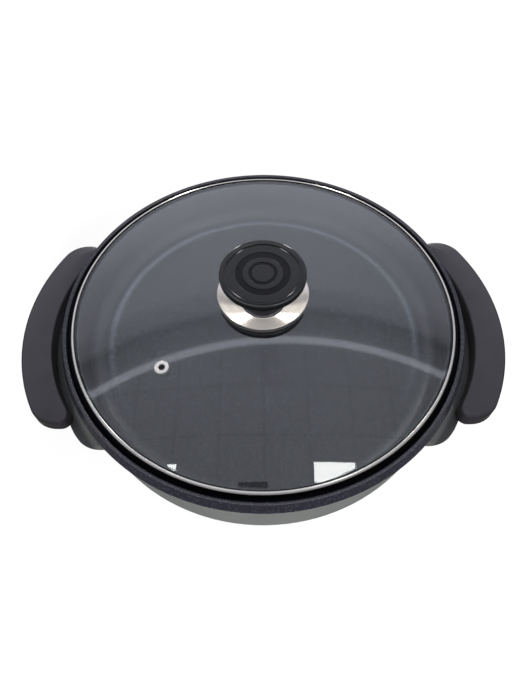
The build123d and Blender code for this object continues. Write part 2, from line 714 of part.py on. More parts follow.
# Lid: a rolled ring around a shallow glass dome, with a steam vent
ring_bottom = lid_seat_z + LID_LIFT_GAP
glass_edge_z = ring_bottom + RING_SHEET + GLASS_THICK
ring_top = glass_edge_z + RING_SHEET
ring_inner_radius = LID_RADIUS - RING_COVER
glass_radius = LID_RADIUS - RING_SHEET - SLIP_CLEARANCE
ring_inside_chamfer = (2 - sqrt(2)) * (RING_ROUND - RING_SHEET)
dome_edge_radius = ring_inner_radius - RING_SHEET
dome_sphere = (dome_edge_radius**2 + LID_RISE**2) / (2 * LID_RISE)
apex_z = glass_edge_z + LID_RISE


def dome_z(radius):
    """Height of the glass's top face at a radius from the axis."""
    return apex_z - dome_sphere + sqrt(dome_sphere**2 - radius**2)


def ring_corner(z, start):
    """Points of an outer corner of the lid ring, bent in flats over a quarter turn."""
    centre = LID_RADIUS - RING_ROUND
    angles = [radians(start + 90 * step / RING_CHORDS) for step in range(RING_CHORDS + 1)]
    return [(centre + RING_ROUND * cos(angle), z + RING_ROUND * sin(angle)) for angle in angles]


eyelet_circle = LID_RADIUS - EYELET_INSET
vent_x, vent_y = polar(eyelet_circle, EYELET_ANGLE)
vent_z = dome_z(eyelet_circle)
vent_normal = (vent_x, vent_y, vent_z - apex_z + dome_sphere)
vent_plane = Plane((vent_x, vent_y, vent_z), z_dir=vent_normal)
middle_radius = dome_edge_radius / 2

with BuildPart() as lid_glass:
    with BuildSketch(Plane.XZ):
        with BuildLine():
            ThreePointArc(
                (0, apex_z - GLASS_THICK),
                (middle_radius, dome_z(middle_radius) - GLASS_THICK),
                (dome_edge_radius, glass_edge_z - GLASS_THICK),
            )
            Polyline(
                (dome_edge_radius, glass_edge_z - GLASS_THICK),
                (glass_radius, glass_edge_z - GLASS_THICK),
                (glass_radius, glass_edge_z),
                (dome_edge_radius, glass_edge_z),
            )
            ThreePointArc(
                (dome_edge_radius, glass_edge_z),
                (middle_radius, dome_z(middle_radius)),
                (0, apex_z),
            )
            Line((0, apex_z), (0, apex_z - GLASS_THICK))
        make_face()
        fillet(corner_at(glass_radius, glass_edge_z), RING_ROUND - RING_SHEET)
        fillet(corner_at(glass_radius, glass_edge_z - GLASS_THICK), RING_ROUND - RING_SHEET)
    revolve(axis=Axis.Z)
    with BuildSketch(Plane.XY.offset(apex_z)):
        Circle(KNOB_SCREW_RADIUS + GLASS_HOLE_CLEARANCE)
    extrude(amount=-2 * GLASS_THICK, mode=Mode.SUBTRACT)
    with BuildSketch(vent_plane):
        Circle(EYELET_BARREL_RADIUS + SLIP_CLEARANCE)
    extrude(amount=2 * GLASS_THICK, both=True, mode=Mode.SUBTRACT)

with BuildPart() as lid_ring:
    with BuildSketch(Plane.XZ):
        with BuildLine():
            Polyline(
                (ring_inner_radius, ring_bottom),
                *ring_corner(ring_bottom + RING_ROUND, -90),
                *ring_corner(ring_top - RING_ROUND, 0),
                (ring_inner_radius, ring_top),
                (ring_inner_radius, ring_top - RING_SHEET),
                (LID_RADIUS - RING_SHEET, ring_top - RING_SHEET),
                (LID_RADIUS - RING_SHEET, ring_bottom + RING_SHEET),
                (ring_inner_radius, ring_bottom + RING_SHEET),
                close=True,
            )
        make_face()
        for z in (ring_bottom + RING_SHEET, ring_top - RING_SHEET):
            chamfer(corner_at(LID_RADIUS - RING_SHEET, z), ring_inside_chamfer)
    revolve(axis=Axis.Z)

with BuildPart() as vent_gasket:
    with BuildSketch(vent_plane.offset(PRESS_CLEARANCE)):
        Circle(GROMMET_RADIUS)
        Circle(EYELET_BARREL_RADIUS + SLIP_CLEARANCE, mode=Mode.SUBTRACT)
    extrude(amount=GROMMET_THICK)

with BuildPart() as vent_eyelet:
    with BuildSketch(vent_plane.offset(PRESS_CLEARANCE + GROMMET_THICK)):
        Circle(EYELET_FLANGE_RADIUS)
    extrude(amount=EYELET_FLANGE_THICK)
    flange_edges = vent_eyelet.edges().filter_by(GeomType.CIRCLE)
    fillet(flange_edges.sort_by(Axis(vent_plane.origin, vent_plane.z_dir))[-1], EYELET_ROUND)
    with BuildSketch(vent_plane.offset(PRESS_CLEARANCE + GROMMET_THICK)):
        Circle(EYELET_BARREL_RADIUS)
    extrude(amount=-GLASS_THICK - PRESS_CLEARANCE - GROMMET_THICK)
    with BuildSketch(vent_plane.offset(-GLASS_THICK)):
        Circle(EYELET_SWAGE_RADIUS)
    extrude(amount=-EYELET_SWAGE_THICK)
    with BuildSketch(vent_plane):
        Circle(EYELET_BORE_RADIUS)
    extrude(amount=2 * GLASS_THICK, both=True, mode=Mode.SUBTRACT)

# Knob: stacked on the apex of the glass and drawn down by one screw from underneath
under_apex_z = dome_z(KNOB_GASKET_RADIUS) - GLASS_THICK
washer_top_z = under_apex_z - KNOB_GASKET_THICK
screw_head_top_z = washer_top_z - KNOB_WASHER_THICK
seat_web_z = apex_z + KNOB_GASKET_THICK
dish_floor_under = seat_web_z + SEAT_WEB
dish_floor = dish_floor_under + DISH_SHEET
dish_lip_z = dish_floor + DISH_DEPTH
knob_top = dish_floor + KNOB_HEIGHT
cap_top = knob_top - KNOB_LIP
stem_hole = KNOB_SCREW_RADIUS + SCREW_HOLE_CLEARANCE
dish_slope = DISH_DEPTH / (DISH_RADIUS - DISH_CENTRE_RADIUS)
dish_drop = DISH_SHEET * sqrt(1 + dish_slope**2)
dish_knee = DISH_CENTRE_RADIUS + (dish_drop - DISH_SHEET) / dish_slope


def dish_under(radius):
    """Height of the underside of the dish's cone at a radius."""
    return dish_floor + (radius - DISH_CENTRE_RADIUS) * dish_slope - dish_drop


def washer(radius, hole, bottom, thickness):
    """A flat ring round the knob's axis."""
    with BuildPart() as ring:
        with BuildSketch(Plane.XY.offset(bottom)):
            Circle(radius)
            Circle(hole, mode=Mode.SUBTRACT)
        extrude(amount=thickness)
    return ring


knob_gasket = washer(KNOB_GASKET_RADIUS, stem_hole, apex_z, KNOB_GASKET_THICK)
knob_lower_gasket = washer(KNOB_GASKET_RADIUS, stem_hole, washer_top_z, KNOB_GASKET_THICK)
knob_washer = washer(KNOB_WASHER_RADIUS, stem_hole, screw_head_top_z, KNOB_WASHER_THICK)

knob_screw = screws(
    [(0, 0)],
    screw_head_top_z - KNOB_SCREW_HEAD,
    KNOB_SCREW_RADIUS,
    KNOB_SCREW_HEAD_RADIUS,
    KNOB_SCREW_HEAD,
    dish_floor + KNOB_SCREW_BITE - screw_head_top_z,
)

seat_body_radius = SEAT_RADIUS - SEAT_BEAD_WIDTH
seat_inner_radius = seat_body_radius - SEAT_WALL
seat_rim_z = dome_z(SEAT_RADIUS) + PRESS_CLEARANCE
foot_top = dish_floor + KNOB_FOOT_EDGE
waist_z = dish_floor + KNOB_WAIST_HEIGHT
disc_under = knob_top - KNOB_EDGE
disc_under_radius = KNOB_RADIUS - KNOB_EDGE_ROUND - KNOB_EDGE_LAND

with BuildPart() as knob_seat:
    with BuildSketch(Plane.XZ):
        with BuildLine():
            Polyline(
                (stem_hole, seat_web_z),
                (DISH_CENTRE_RADIUS, seat_web_z),
                (seat_inner_radius, dish_under(seat_inner_radius) - SEAT_WALL),
                (seat_inner_radius, dome_z(seat_inner_radius) + PRESS_CLEARANCE),
                (SEAT_RADIUS, seat_rim_z),
                (SEAT_RADIUS, seat_rim_z + SEAT_BEAD_HEIGHT),
                (seat_body_radius, seat_rim_z + SEAT_BEAD_HEIGHT),
                (seat_body_radius, dish_under(seat_body_radius) - PRESS_CLEARANCE),
                (dish_knee, dish_floor_under),
                (stem_hole, dish_floor_under),
                close=True,
            )
        make_face()
        fillet(corner_at(SEAT_RADIUS, seat_rim_z + SEAT_BEAD_HEIGHT), SEAT_BEAD_ROUND)
    revolve(axis=Axis.Z)

with BuildPart() as knob_dish:
    with BuildSketch(Plane.XZ):
        with BuildLine():
            Polyline(
                (stem_hole, dish_floor_under),
                (dish_knee, dish_floor_under),
                (DISH_RADIUS - DISH_SHEET, dish_under(DISH_RADIUS - DISH_SHEET)),
                (DISH_RADIUS - DISH_SHEET, dish_lip_z - DISH_BAND),
                (DISH_RADIUS, dish_lip_z - DISH_BAND),
                (DISH_RADIUS, dish_lip_z),
                (DISH_CENTRE_RADIUS, dish_floor),
                (stem_hole, dish_floor),
                close=True,
            )
        make_face()
        fillet(corner_at(DISH_RADIUS, dish_lip_z), DISH_SHEET / 2)
    revolve(axis=Axis.Z)

with BuildPart() as knob_body:
    with BuildSketch(Plane.XZ):
        with BuildLine():
            Line((0, dish_floor), (KNOB_FOOT_RADIUS, dish_floor))
            Line((KNOB_FOOT_RADIUS, dish_floor), (KNOB_FOOT_RADIUS, foot_top))
            Bezier(
                (KNOB_FOOT_RADIUS, foot_top),
                ((KNOB_FOOT_RADIUS + KNOB_WAIST_RADIUS) / 2, foot_top),
                (KNOB_WAIST_RADIUS, (foot_top + waist_z) / 2),
                (KNOB_WAIST_RADIUS, waist_z),
            )
            Bezier(
                (KNOB_WAIST_RADIUS, waist_z),
                (KNOB_WAIST_RADIUS, (waist_z + disc_under) / 2),
                ((KNOB_WAIST_RADIUS + disc_under_radius) / 2, disc_under),
                (disc_under_radius, disc_under),
            )
            Polyline(
                (disc_under_radius, disc_under),
                (KNOB_RADIUS, disc_under),
                (KNOB_RADIUS, knob_top),
                (CAP_RADIUS + PRESS_CLEARANCE, knob_top),
                (CAP_RADIUS + PRESS_CLEARANCE, cap_top - CAP_THICK),
                (0, cap_top - CAP_THICK),
                (0, dish_floor),
            )
        make_face()
        fillet(corner_at(KNOB_RADIUS, disc_under), KNOB_EDGE_ROUND)
        fillet(corner_at(KNOB_RADIUS, knob_top), KNOB_LIP_ROUND)
    revolve(axis=Axis.Z)
    with BuildSketch(Plane.XY.offset(dish_floor)):
        Circle(NUT_RADIUS + PRESS_CLEARANCE)
    extrude(amount=NUT_LENGTH, mode=Mode.SUBTRACT)

with BuildPart() as knob_nut:
    with BuildSketch(Plane.XY.offset(dish_floor)):
        Circle(NUT_RADIUS)
    extrude(amount=NUT_LENGTH)
    with BuildSketch(Plane.XY.offset(dish_floor)):
        Circle(KNOB_SCREW_RADIUS + PRESS_CLEARANCE)
    extrude(amount=KNOB_SCREW_BITE + HOLE_BOTTOM_GAP, mode=Mode.SUBTRACT)

with BuildPart() as knob_cap:
    with BuildSketch(Plane.XY.offset(cap_top - CAP_THICK)):
        Circle(CAP_RADIUS)
    extrude(amount=CAP_THICK)
    with BuildSketch(Plane.XY.offset(cap_top)):
        for inner_radius, outer_radius in CAP_GROOVES:
            Circle(outer_radius)
            Circle(inner_radius, mode=Mode.SUBTRACT)
    extrude(amount=-CAP_GROOVE_DEPTH, mode=Mode.SUBTRACT)

# Write every piece to its own file, named as the piece
pieces = {
    "griddle_pan": griddle_pan,
    "base_shell": base_shell,
    "heating_element": heating_element,
    "element_clamps": element_clamps,
    "element_clamp_screws": element_clamp_screws,
    "terminal_pins": terminal_pins,
    "terminal_bushes": terminal_bushes,
    "probe_guide": probe_guide,
    "earth_contact": earth_contact,
    "inlet_shroud": inlet_shroud,
    "inlet_screws": inlet_screws,
    "bottom_plate": bottom_plate,
    "bottom_plate_screws": bottom_plate_screws,
    "heat_shield": heat_shield,
    "pan_spacers": pan_spacers,
    "pan_screws": pan_screws,
    **feet,
    "handle_left": make_handle(-1),
    "handle_right": make_handle(1),
    "handle_inserts_left": make_inserts(-1),
    "handle_inserts_right": make_inserts(1),
    "handle_screws_left": make_handle_screws(-1),
    "handle_screws_right": make_handle_screws(1),
    "lid_glass": lid_glass,
    "lid_ring": lid_ring,
    "vent_gasket": vent_gasket,
    "vent_eyelet": vent_eyelet,
    "knob_gasket": knob_gasket,
    "knob_lower_gasket": knob_lower_gasket,
    "knob_washer": knob_washer,
    "knob_screw": knob_screw,
    "knob_seat": knob_seat,
    "knob_dish": knob_dish,
    "knob_body": knob_body,
    "knob_nut": knob_nut,
    "knob_cap": knob_cap,
}
os.makedirs("parts", exist_ok=True)
for name, piece in pieces.items():
    piece.part.label = name
    export_step(piece.part, f"parts/{name}.step")
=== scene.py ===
import json
import math

import bmesh
import bpy
import numpy as np
from bpy.props import FloatProperty, FloatVectorProperty, IntProperty, PointerProperty, StringProperty
from mathutils import Matrix, Vector


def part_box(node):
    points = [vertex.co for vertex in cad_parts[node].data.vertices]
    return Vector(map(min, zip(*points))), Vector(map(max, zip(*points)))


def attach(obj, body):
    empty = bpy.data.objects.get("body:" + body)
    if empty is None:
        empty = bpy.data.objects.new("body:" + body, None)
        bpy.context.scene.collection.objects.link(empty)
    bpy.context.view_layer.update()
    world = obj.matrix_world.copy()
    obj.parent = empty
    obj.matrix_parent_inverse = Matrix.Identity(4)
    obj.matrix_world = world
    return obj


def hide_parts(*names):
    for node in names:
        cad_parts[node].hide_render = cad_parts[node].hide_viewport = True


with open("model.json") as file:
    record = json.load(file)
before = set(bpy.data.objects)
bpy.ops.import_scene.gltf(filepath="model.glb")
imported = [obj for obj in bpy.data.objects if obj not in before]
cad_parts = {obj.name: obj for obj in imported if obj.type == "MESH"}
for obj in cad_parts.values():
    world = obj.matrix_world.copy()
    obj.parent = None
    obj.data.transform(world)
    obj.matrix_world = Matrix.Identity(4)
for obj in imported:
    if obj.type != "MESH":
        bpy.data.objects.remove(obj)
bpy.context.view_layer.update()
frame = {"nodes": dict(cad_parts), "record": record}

bl_info = {
    "name": "Electric griddle",
    "version": (1, 0, 0),
    "blender": (4, 5, 0),
    "location": "View3D > Sidebar > Griddle",
    "description": "Surfaces, finishes and a small studio for a round electric griddle with a glass lid",
    "category": "Object",
}

MM = 0.001
LID_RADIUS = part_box("lid_ring")[1].x
RING_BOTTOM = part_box("lid_ring")[0].z
RING_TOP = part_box("lid_ring")[1].z
PAN_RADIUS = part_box("griddle_pan")[1].x
PAN_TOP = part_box("griddle_pan")[1].z
GLASS_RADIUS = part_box("lid_glass")[1].x
GLASS_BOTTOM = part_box("lid_glass")[0].z
GLASS_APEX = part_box("lid_glass")[1].z
DISH_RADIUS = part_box("knob_dish")[1].x
DISH_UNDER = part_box("knob_dish")[0].z
KNOB_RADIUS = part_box("knob_body")[1].x
KNOB_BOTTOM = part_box("knob_body")[0].z
KNOB_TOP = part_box("knob_body")[1].z
CAP_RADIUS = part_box("knob_cap")[1].x
CAP_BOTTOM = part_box("knob_cap")[0].z
CAP_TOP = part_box("knob_cap")[1].z
BASE_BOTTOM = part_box("base_shell")[0].z
BASE_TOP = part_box("base_shell")[1].z
SCREW_HOLE = 3.2 * MM


def length(name, default, description):
    """A length in metres, for a settings group."""
    return FloatProperty(name=name, description=description, default=default, unit="LENGTH", precision=5)


def share(name, default, description):
    """A plain factor between nothing and one, for a settings group."""
    return FloatProperty(
        name=name, description=description, default=default, min=0.0, max=1.0, subtype="FACTOR"
    )


def angle(name, default, description):
    """An angle given in degrees and kept in radians, for a settings group."""
    return FloatProperty(
        name=name, description=description, default=math.radians(default), unit="ROTATION", precision=3
    )


def watts(name, default, description):
    """The power of a lamp, for a settings group."""
    return FloatProperty(name=name, description=description, default=default, min=0.0, unit="POWER")


def colour(name, default, description):
    """A hex sRGB colour, for a settings group."""
    return StringProperty(name=name, description=description, default=default)


# Curves and surfaces


def arc(centre, radius, start, end, steps):
    """Points on a circle: centre + radius * (cos a, sin a) for a from start to end degrees."""
    angles = np.radians(np.linspace(start, end, steps + 1))
    return np.column_stack([centre[0] + radius * np.cos(angles), centre[1] + radius * np.sin(angles)])


def bezier(a, b, c, d, steps):
    """Points of a cubic Bezier curve from a to d, drawn by its two handles b and c."""
    t = np.linspace(0.0, 1.0, steps + 1)[:, None]
    a, b, c, d = (np.array(p, float) for p in (a, b, c, d))
    return (1 - t) ** 3 * a + 3 * t * (1 - t) ** 2 * b + 3 * t**2 * (1 - t) * c + t**3 * d


def rounded(corners, radii, steps=6):
    """A closed outline whose corners are arcs tangent to both sides. A corner is cut back by its radius
    over the tangent of half its angle, and the arc turns by what is left of half a turn."""
    corners = np.array(corners, float)
    previous, following = np.roll(corners, 1, 0), np.roll(corners, -1, 0)
    pieces = []
    for corner, before, after, radius in zip(corners, previous, following, radii):
        if radius == 0:
            pieces.append(corner[None])
            continue
        to_before = (before - corner) / np.linalg.norm(before - corner)
        to_after = (after - corner) / np.linalg.norm(after - corner)
        half = math.acos(float(np.clip(to_before @ to_after, -1, 1))) / 2
        middle = to_before + to_after
        centre = corner + middle / np.linalg.norm(middle) * radius / math.sin(half)
        first = corner + to_before * radius / math.tan(half) - centre
        turn = math.pi - 2 * half
        sense = 1 if to_before[0] * to_after[1] - to_before[1] * to_after[0] < 0 else -1
        a = sense * np.linspace(0.0, turn, steps + 1)
        x = centre[0] + first[0] * np.cos(a) - first[1] * np.sin(a)
        y = centre[1] + first[0] * np.sin(a) + first[1] * np.cos(a)
        pieces.append(np.column_stack([x, y]))
    return np.vstack(pieces)


def surface(name, grid, closed_rows, closed_columns, crease=35.0):
    """A mesh with a quad between each four neighbours of grid[row, column] = (x, y, z). Its UV map runs
    along the columns and rows in metres. Points that meet are merged and the faces turned outwards."""
    rows, columns = grid.shape[:2]
    i, j = np.meshgrid(
        np.arange(rows if closed_rows else rows - 1),
        np.arange(columns if closed_columns else columns - 1),
        indexing="ij",
    )
    i, j = i.ravel(), j.ravel()
    next_i, next_j = (i + 1) % rows, (j + 1) % columns
    here, beyond = i * columns, next_i * columns
    faces = np.stack([here + j, here + next_j, beyond + next_j, beyond + j], 1)
    mesh = bpy.data.meshes.new(name)
    mesh.from_pydata(grid.reshape(-1, 3).tolist(), [], faces.tolist())
    along = np.linalg.norm(np.diff(grid, axis=1), axis=2).sum(1).mean() / max(columns - 1, 1)
    across = np.linalg.norm(np.diff(grid, axis=0), axis=2).sum(0).mean() / max(rows - 1, 1)
    uv = np.stack([np.stack([j, j + 1, j + 1, j], 1) * along, np.stack([i, i, i + 1, i + 1], 1) * across], 2)
    mesh.uv_layers.new(name="Surface").data.foreach_set("uv", uv.astype(np.float32).ravel())
    work = bmesh.new()
    work.from_mesh(mesh)
    bmesh.ops.remove_doubles(work, verts=work.verts, dist=1e-7)
    bmesh.ops.recalc_face_normals(work, faces=work.faces)
    work.to_mesh(mesh)
    work.free()
    mesh.shade_smooth()
    mesh.set_sharp_from_angle(angle=math.radians(crease))
    piece = bpy.data.objects.new(name, mesh)
    bpy.context.scene.collection.objects.link(piece)
    normals = piece.modifiers.new("Flat faces lead", "WEIGHTED_NORMAL")
    normals.keep_sharp = True
    return piece


def turned(name, profile, segments, crease=35.0):
    """A surface of revolution about Z: a closed profile of (r, z) goes to (r cos a, r sin a, z)."""
    a = np.linspace(0.0, 2 * math.pi, segments, endpoint=False)
    r, z = profile[:, :1], profile[:, 1:]
    grid = np.stack([r * np.cos(a), r * np.sin(a), np.repeat(z, segments, 1)], 2)
    return surface(name, grid, True, True, crease)


def level(plan, z):
    """Points in plan, lifted to one height."""
    return np.column_stack([plan, np.full(len(plan), z)])


def place(piece, body, material, slot, *nodes):
    """Gives a piece its material and body, and hides the CAD nodes that it stands for."""
    piece.data.materials.append(bpy.data.materials[material])
    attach(piece, body)
    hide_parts(*nodes)


def hide(piece, *kinds):
    """Keeps a piece or a lamp out of what rays of these kinds see."""
    for kind in kinds:
        setattr(piece, "visible_" + kind, False)


def cut(piece, cutter):
    """Takes the cutter's volume out of the piece and removes the cutter."""
    hole = piece.modifiers.new("Hole", "BOOLEAN")
    hole.object = cutter
    hole.operation = "DIFFERENCE"
    hole.solver = "EXACT"
    bpy.context.view_layer.update()
    shape = piece.evaluated_get(bpy.context.evaluated_depsgraph_get())
    mesh = bpy.data.meshes.new_from_object(shape)
    piece.modifiers.clear()
    piece.data = mesh
    bpy.data.objects.remove(cutter)


# Materials


def linear(code):
    """A hex sRGB colour as linear red, green, blue and alpha."""
    parts = [int(code[k : k + 2], 16) / 255 for k in (1, 3, 5)]
    return tuple(c / 12.92 if c <= 0.04045 else ((c + 0.055) / 1.055) ** 2.4 for c in parts) + (1.0,)


def add(tree, kind, sockets=(), **settings):
    """Adds one node. A socket takes a plain value, a link from an output, or one from a node's first."""
    node = tree.nodes.new("ShaderNode" + kind)
    for name, value in settings.items():
        setattr(node, name, value)
    for name, value in dict(sockets).items():
        if isinstance(value, bpy.types.Node):
            value = next(output for output in value.outputs if not output.is_unavailable)
        if isinstance(value, bpy.types.NodeSocket):
            tree.links.new(value, node.inputs[name])
        else:
            node.inputs[name].default_value = value
    return node


def new_material(name):
    """An empty material: its tree, and the object coordinates that its patterns run on."""
    material = bpy.data.materials.new(name)
    material.use_nodes = True
    tree = material.node_tree
    tree.nodes.remove(tree.nodes["Principled BSDF"])
    return tree, add(tree, "TexCoord").outputs["Object"]


def distance_from_axis(tree, at):
    """The distance of a point from the Z axis: the length of (x, y, 0)."""
    plan = add(tree, "VectorMath", {0: at, 1: (1.0, 1.0, 0.0)}, operation="MULTIPLY")
    return add(tree, "VectorMath", {0: plan}, operation="LENGTH").outputs["Value"]


def finish(tree, shader):
    """Makes a shader node the surface of its material."""
    tree.links.new(shader.outputs[0], tree.nodes["Material Output"].inputs["Surface"])


def nonstick_coating(name, settings):
    """PTFE non-stick coating sprayed on cast aluminium and baked: a near-black, faintly blue skin with a
    fine orange peel and mica flakes that glint. It is thicker on the rim, so glossier there and faintly
    violet. A pale band at the foot of the wall is a painted highlight, and the groove beside the lid is
    darkened with painted shade."""
    tree, at = new_material(name)
    radius = distance_from_axis(tree, at)
    axes = add(tree, "SeparateXYZ", {"Vector": at}).outputs
    beyond = LID_RADIUS - 4 * MM
    rim = add(tree, "MapRange", {"Value": radius, "From Min": beyond, "From Max": beyond + 2 * MM})
    # the real peel and flakes are 0.1 to 0.3 mm, drawn coarser so that they show, most of all on the rim
    sockets = {"Value": rim, "To Min": 1 / settings.coating_peel, "To Max": 1 / settings.rim_peel}
    peel = add(tree, "TexNoise", {"Vector": at, "Scale": add(tree, "MapRange", sockets), "Detail": 2.0})
    cloud = add(tree, "TexNoise", {"Vector": at, "Scale": 1 / (28 * MM), "Detail": 3.0})
    sockets = {"Value": rim, "To Min": 1 / settings.floor_flakes, "To Max": 1 / settings.rim_flakes}
    cells = add(tree, "TexVoronoi", {"Vector": at, "Scale": add(tree, "MapRange", sockets)})
    spark = add(tree, "MapRange", {"Value": cells, "From Max": 0.24, "To Min": 0.8, "To Max": 0.0})
    sockets = {"Value": axes["Z"], "From Min": PAN_TOP - 2 * MM, "From Max": PAN_TOP - 0.8 * MM}
    crest = add(tree, "MapRange", sockets)
    shoulder = PAN_RADIUS - settings.coating_skirt
    sockets = {"Value": radius, "From Min": shoulder - 0.5 * MM, "From Max": shoulder}
    outside = add(tree, "MapRange", sockets)
    open_rim = add(tree, "Math", {0: crest, 1: outside}, operation="MAXIMUM")
    outside_groove_shade = add(tree, "Mix", {"Factor": rim, "A": 1.0, "B": open_rim})
    # painted shade: the groove beside the lid gets no shine and no flakes, so it reads dark, and the rim as a
    # whole shines less than the floor
    gloss = add(tree, "MapRange", {"Value": rim, "To Min": 0.5, "To Max": 0.3})
    shine = add(tree, "Math", {0: outside_groove_shade, 1: gloss}, operation="MULTIPLY")
    sockets = {"Value": rim, "To Min": settings.floor_glint, "To Max": settings.rim_glint}
    amount = add(tree, "MapRange", sockets)
    shown = add(tree, "Math", {0: amount, 1: outside_groove_shade}, operation="MULTIPLY")
    glint = add(tree, "Math", {0: spark, 1: shown}, operation="MULTIPLY")
    dark, light = linear(settings.coating_dark), linear(settings.coating_light)
    skin = add(tree, "Mix", {"Factor": cloud, "A": dark, "B": light}, data_type="RGBA")
    # the thick coat on the rim has a violet cast
    glaze = add(tree, "Math", {0: rim, 1: open_rim}, operation="MULTIPLY")
    cast = add(tree, "Math", {0: glaze, 1: settings.rim_glaze}, operation="MULTIPLY")
    violet = linear(settings.rim_cast)
    body = add(tree, "Mix", {"Factor": cast, "A": skin, "B": violet}, data_type="RGBA")
    # painted highlight: a pale band in the flake colour at the foot of the wall, strongest at the back of the
    # pan and gone at its front
    offset = add(tree, "Math", {0: radius, 1: PAN_RADIUS - settings.highlighted_inset}, operation="SUBTRACT")
    away = add(tree, "Math", {0: offset}, operation="ABSOLUTE")
    sockets = {"Value": away, "From Max": settings.highlighted_width / 2, "To Min": 1.0, "To Max": 0.0}
    band = add(tree, "MapRange", sockets)
    front, behind = -90 * MM, 60 * MM
    sockets = {"Value": axes["Y"], "From Min": front, "From Max": behind, "To Max": settings.highlighted}
    back = add(tree, "MapRange", sockets)
    highlight_mask = add(tree, "Math", {0: band, 1: back}, operation="MULTIPLY")
    grain = add(tree, "MapRange", {"Value": cells, "From Max": 0.6, "To Min": 1.0, "To Max": 0.4})
    highlight_amount = add(tree, "Math", {0: highlight_mask, 1: grain}, operation="MULTIPLY")
    pale_flake_and_highlight = linear(settings.coating_flake_and_highlight)
    highlighted = add(tree, "Mix", {"Factor": highlight_amount, "A": body, "B": pale_flake_and_highlight}, data_type="RGBA")
    flaked = add(tree, "Mix", {"Factor": glint, "A": highlighted, "B": pale_flake_and_highlight}, data_type="RGBA")
    worn = add(tree, "MapRange", {"Value": rim, "To Min": 0.42, "To Max": 0.26})
    dull = add(tree, "MapRange", {"Value": peel, "To Min": -0.05, "To Max": 0.05})
    rough = add(tree, "Math", {0: worn, 1: dull}, operation="ADD")
    rippled = add(tree, "MapRange", {"Value": rim, "To Min": 0.01, "To Max": 1.0})
    relief = add(tree, "Bump", {"Height": peel, "Distance": settings.peel_height, "Strength": rippled})
    coat = add(tree, "Math", {0: glaze, 1: 0.18}, operation="MULTIPLY")
    sockets = {"Base Color": flaked, "Roughness": rough, "Normal": relief, "Coat Normal": relief}
    sockets |= {"Specular IOR Level": shine, "Coat Weight": coat, "Coat Roughness": 0.14}
    finish(tree, add(tree, "BsdfPrincipled", sockets))


def grey_moulding(name, settings):
    """Heat-resistant polyamide moulded with a metallic pigment: mid grey, satin, with a fine spark grain
    from the mould and a slight flow cloud. The lugs under the handles are darkened with painted shade,
    the more the farther they stand out from the wall."""
    tree, at = new_material(name)
    radius = distance_from_axis(tree, at)
    height = add(tree, "SeparateXYZ", {"Vector": at}).outputs["Z"]
    foot = settings.base_radius - settings.base_taper
    sockets = {"Value": height, "From Min": BASE_BOTTOM, "From Max": BASE_TOP}
    wall = add(tree, "MapRange", sockets | {"To Min": foot, "To Max": settings.base_radius})
    proud = add(tree, "Math", {0: radius, 1: wall}, operation="SUBTRACT")
    # painted shade: the lugs under the handles darken towards the lug shade colour, more the farther they
    # stand out from the wall
    sockets = {"Value": proud, "From Min": 1 * MM, "From Max": 2.5 * MM, "To Max": settings.lug_shade_near}
    near = add(tree, "MapRange", sockets)
    sockets = {"Value": proud, "From Min": 3 * MM, "From Max": 10 * MM, "To Max": settings.lug_shade_end}
    lug_shading = add(tree, "Math", {0: near, 1: add(tree, "MapRange", sockets)}, operation="MAXIMUM")
    spark = add(tree, "TexNoise", {"Vector": at, "Scale": 1 / (0.45 * MM), "Detail": 2.0, "Roughness": 0.6})
    cloud = add(tree, "TexNoise", {"Vector": at, "Scale": 1 / (45 * MM), "Detail": 2.0})
    both = add(tree, "Mix", {"Factor": 0.35, "A": cloud, "B": spark})
    tone = add(tree, "MapRange", {"Value": both, "From Min": 0.35, "From Max": 0.65})
    dark, light = linear(settings.base_dark), linear(settings.base_light)
    plain = add(tree, "Mix", {"Factor": tone, "A": dark, "B": light}, data_type="RGBA")
    shade = linear(settings.lug_shade)
    colours = add(tree, "Mix", {"Factor": lug_shading, "A": plain, "B": shade}, data_type="RGBA")
    dull = add(tree, "MapRange", {"Value": spark, "To Min": 0.38, "To Max": 0.55})
    relief = add(tree, "Bump", {"Height": spark, "Distance": 0.02 * MM, "Strength": 0.5})
    finish(tree, add(tree, "BsdfPrincipled", {"Base Color": colours, "Roughness": dull, "Normal": relief}))


def phenolic_moulding(name, dark, light, rough_low, rough_high, shine=0.5):
    """Phenolic resin pressed in a steel mould: near-black, with a faint grain, and duller where the
    filler comes to the surface."""
    tree, at = new_material(name)
    fine = add(tree, "TexNoise", {"Vector": at, "Scale": 1 / (0.5 * MM), "Detail": 3.0, "Roughness": 0.6})
    cloud = add(tree, "TexNoise", {"Vector": at, "Scale": 1 / (22 * MM), "Detail": 4.0})
    tone = add(tree, "MapRange", {"Value": cloud, "From Min": 0.3, "From Max": 0.72})
    colours = add(tree, "Mix", {"Factor": tone, "A": linear(dark), "B": linear(light)}, data_type="RGBA")
    sockets = {"Value": cloud, "From Min": 0.3, "From Max": 0.7, "To Min": rough_low, "To Max": rough_high}
    dull = add(tree, "MapRange", sockets)
    relief = add(tree, "Bump", {"Height": fine, "Distance": 0.015 * MM, "Strength": 0.4})
    sockets = {"Base Color": colours, "Roughness": dull, "Normal": relief, "IOR": 1.55}
    finish(tree, add(tree, "BsdfPrincipled", sockets | {"Specular IOR Level": shine}))


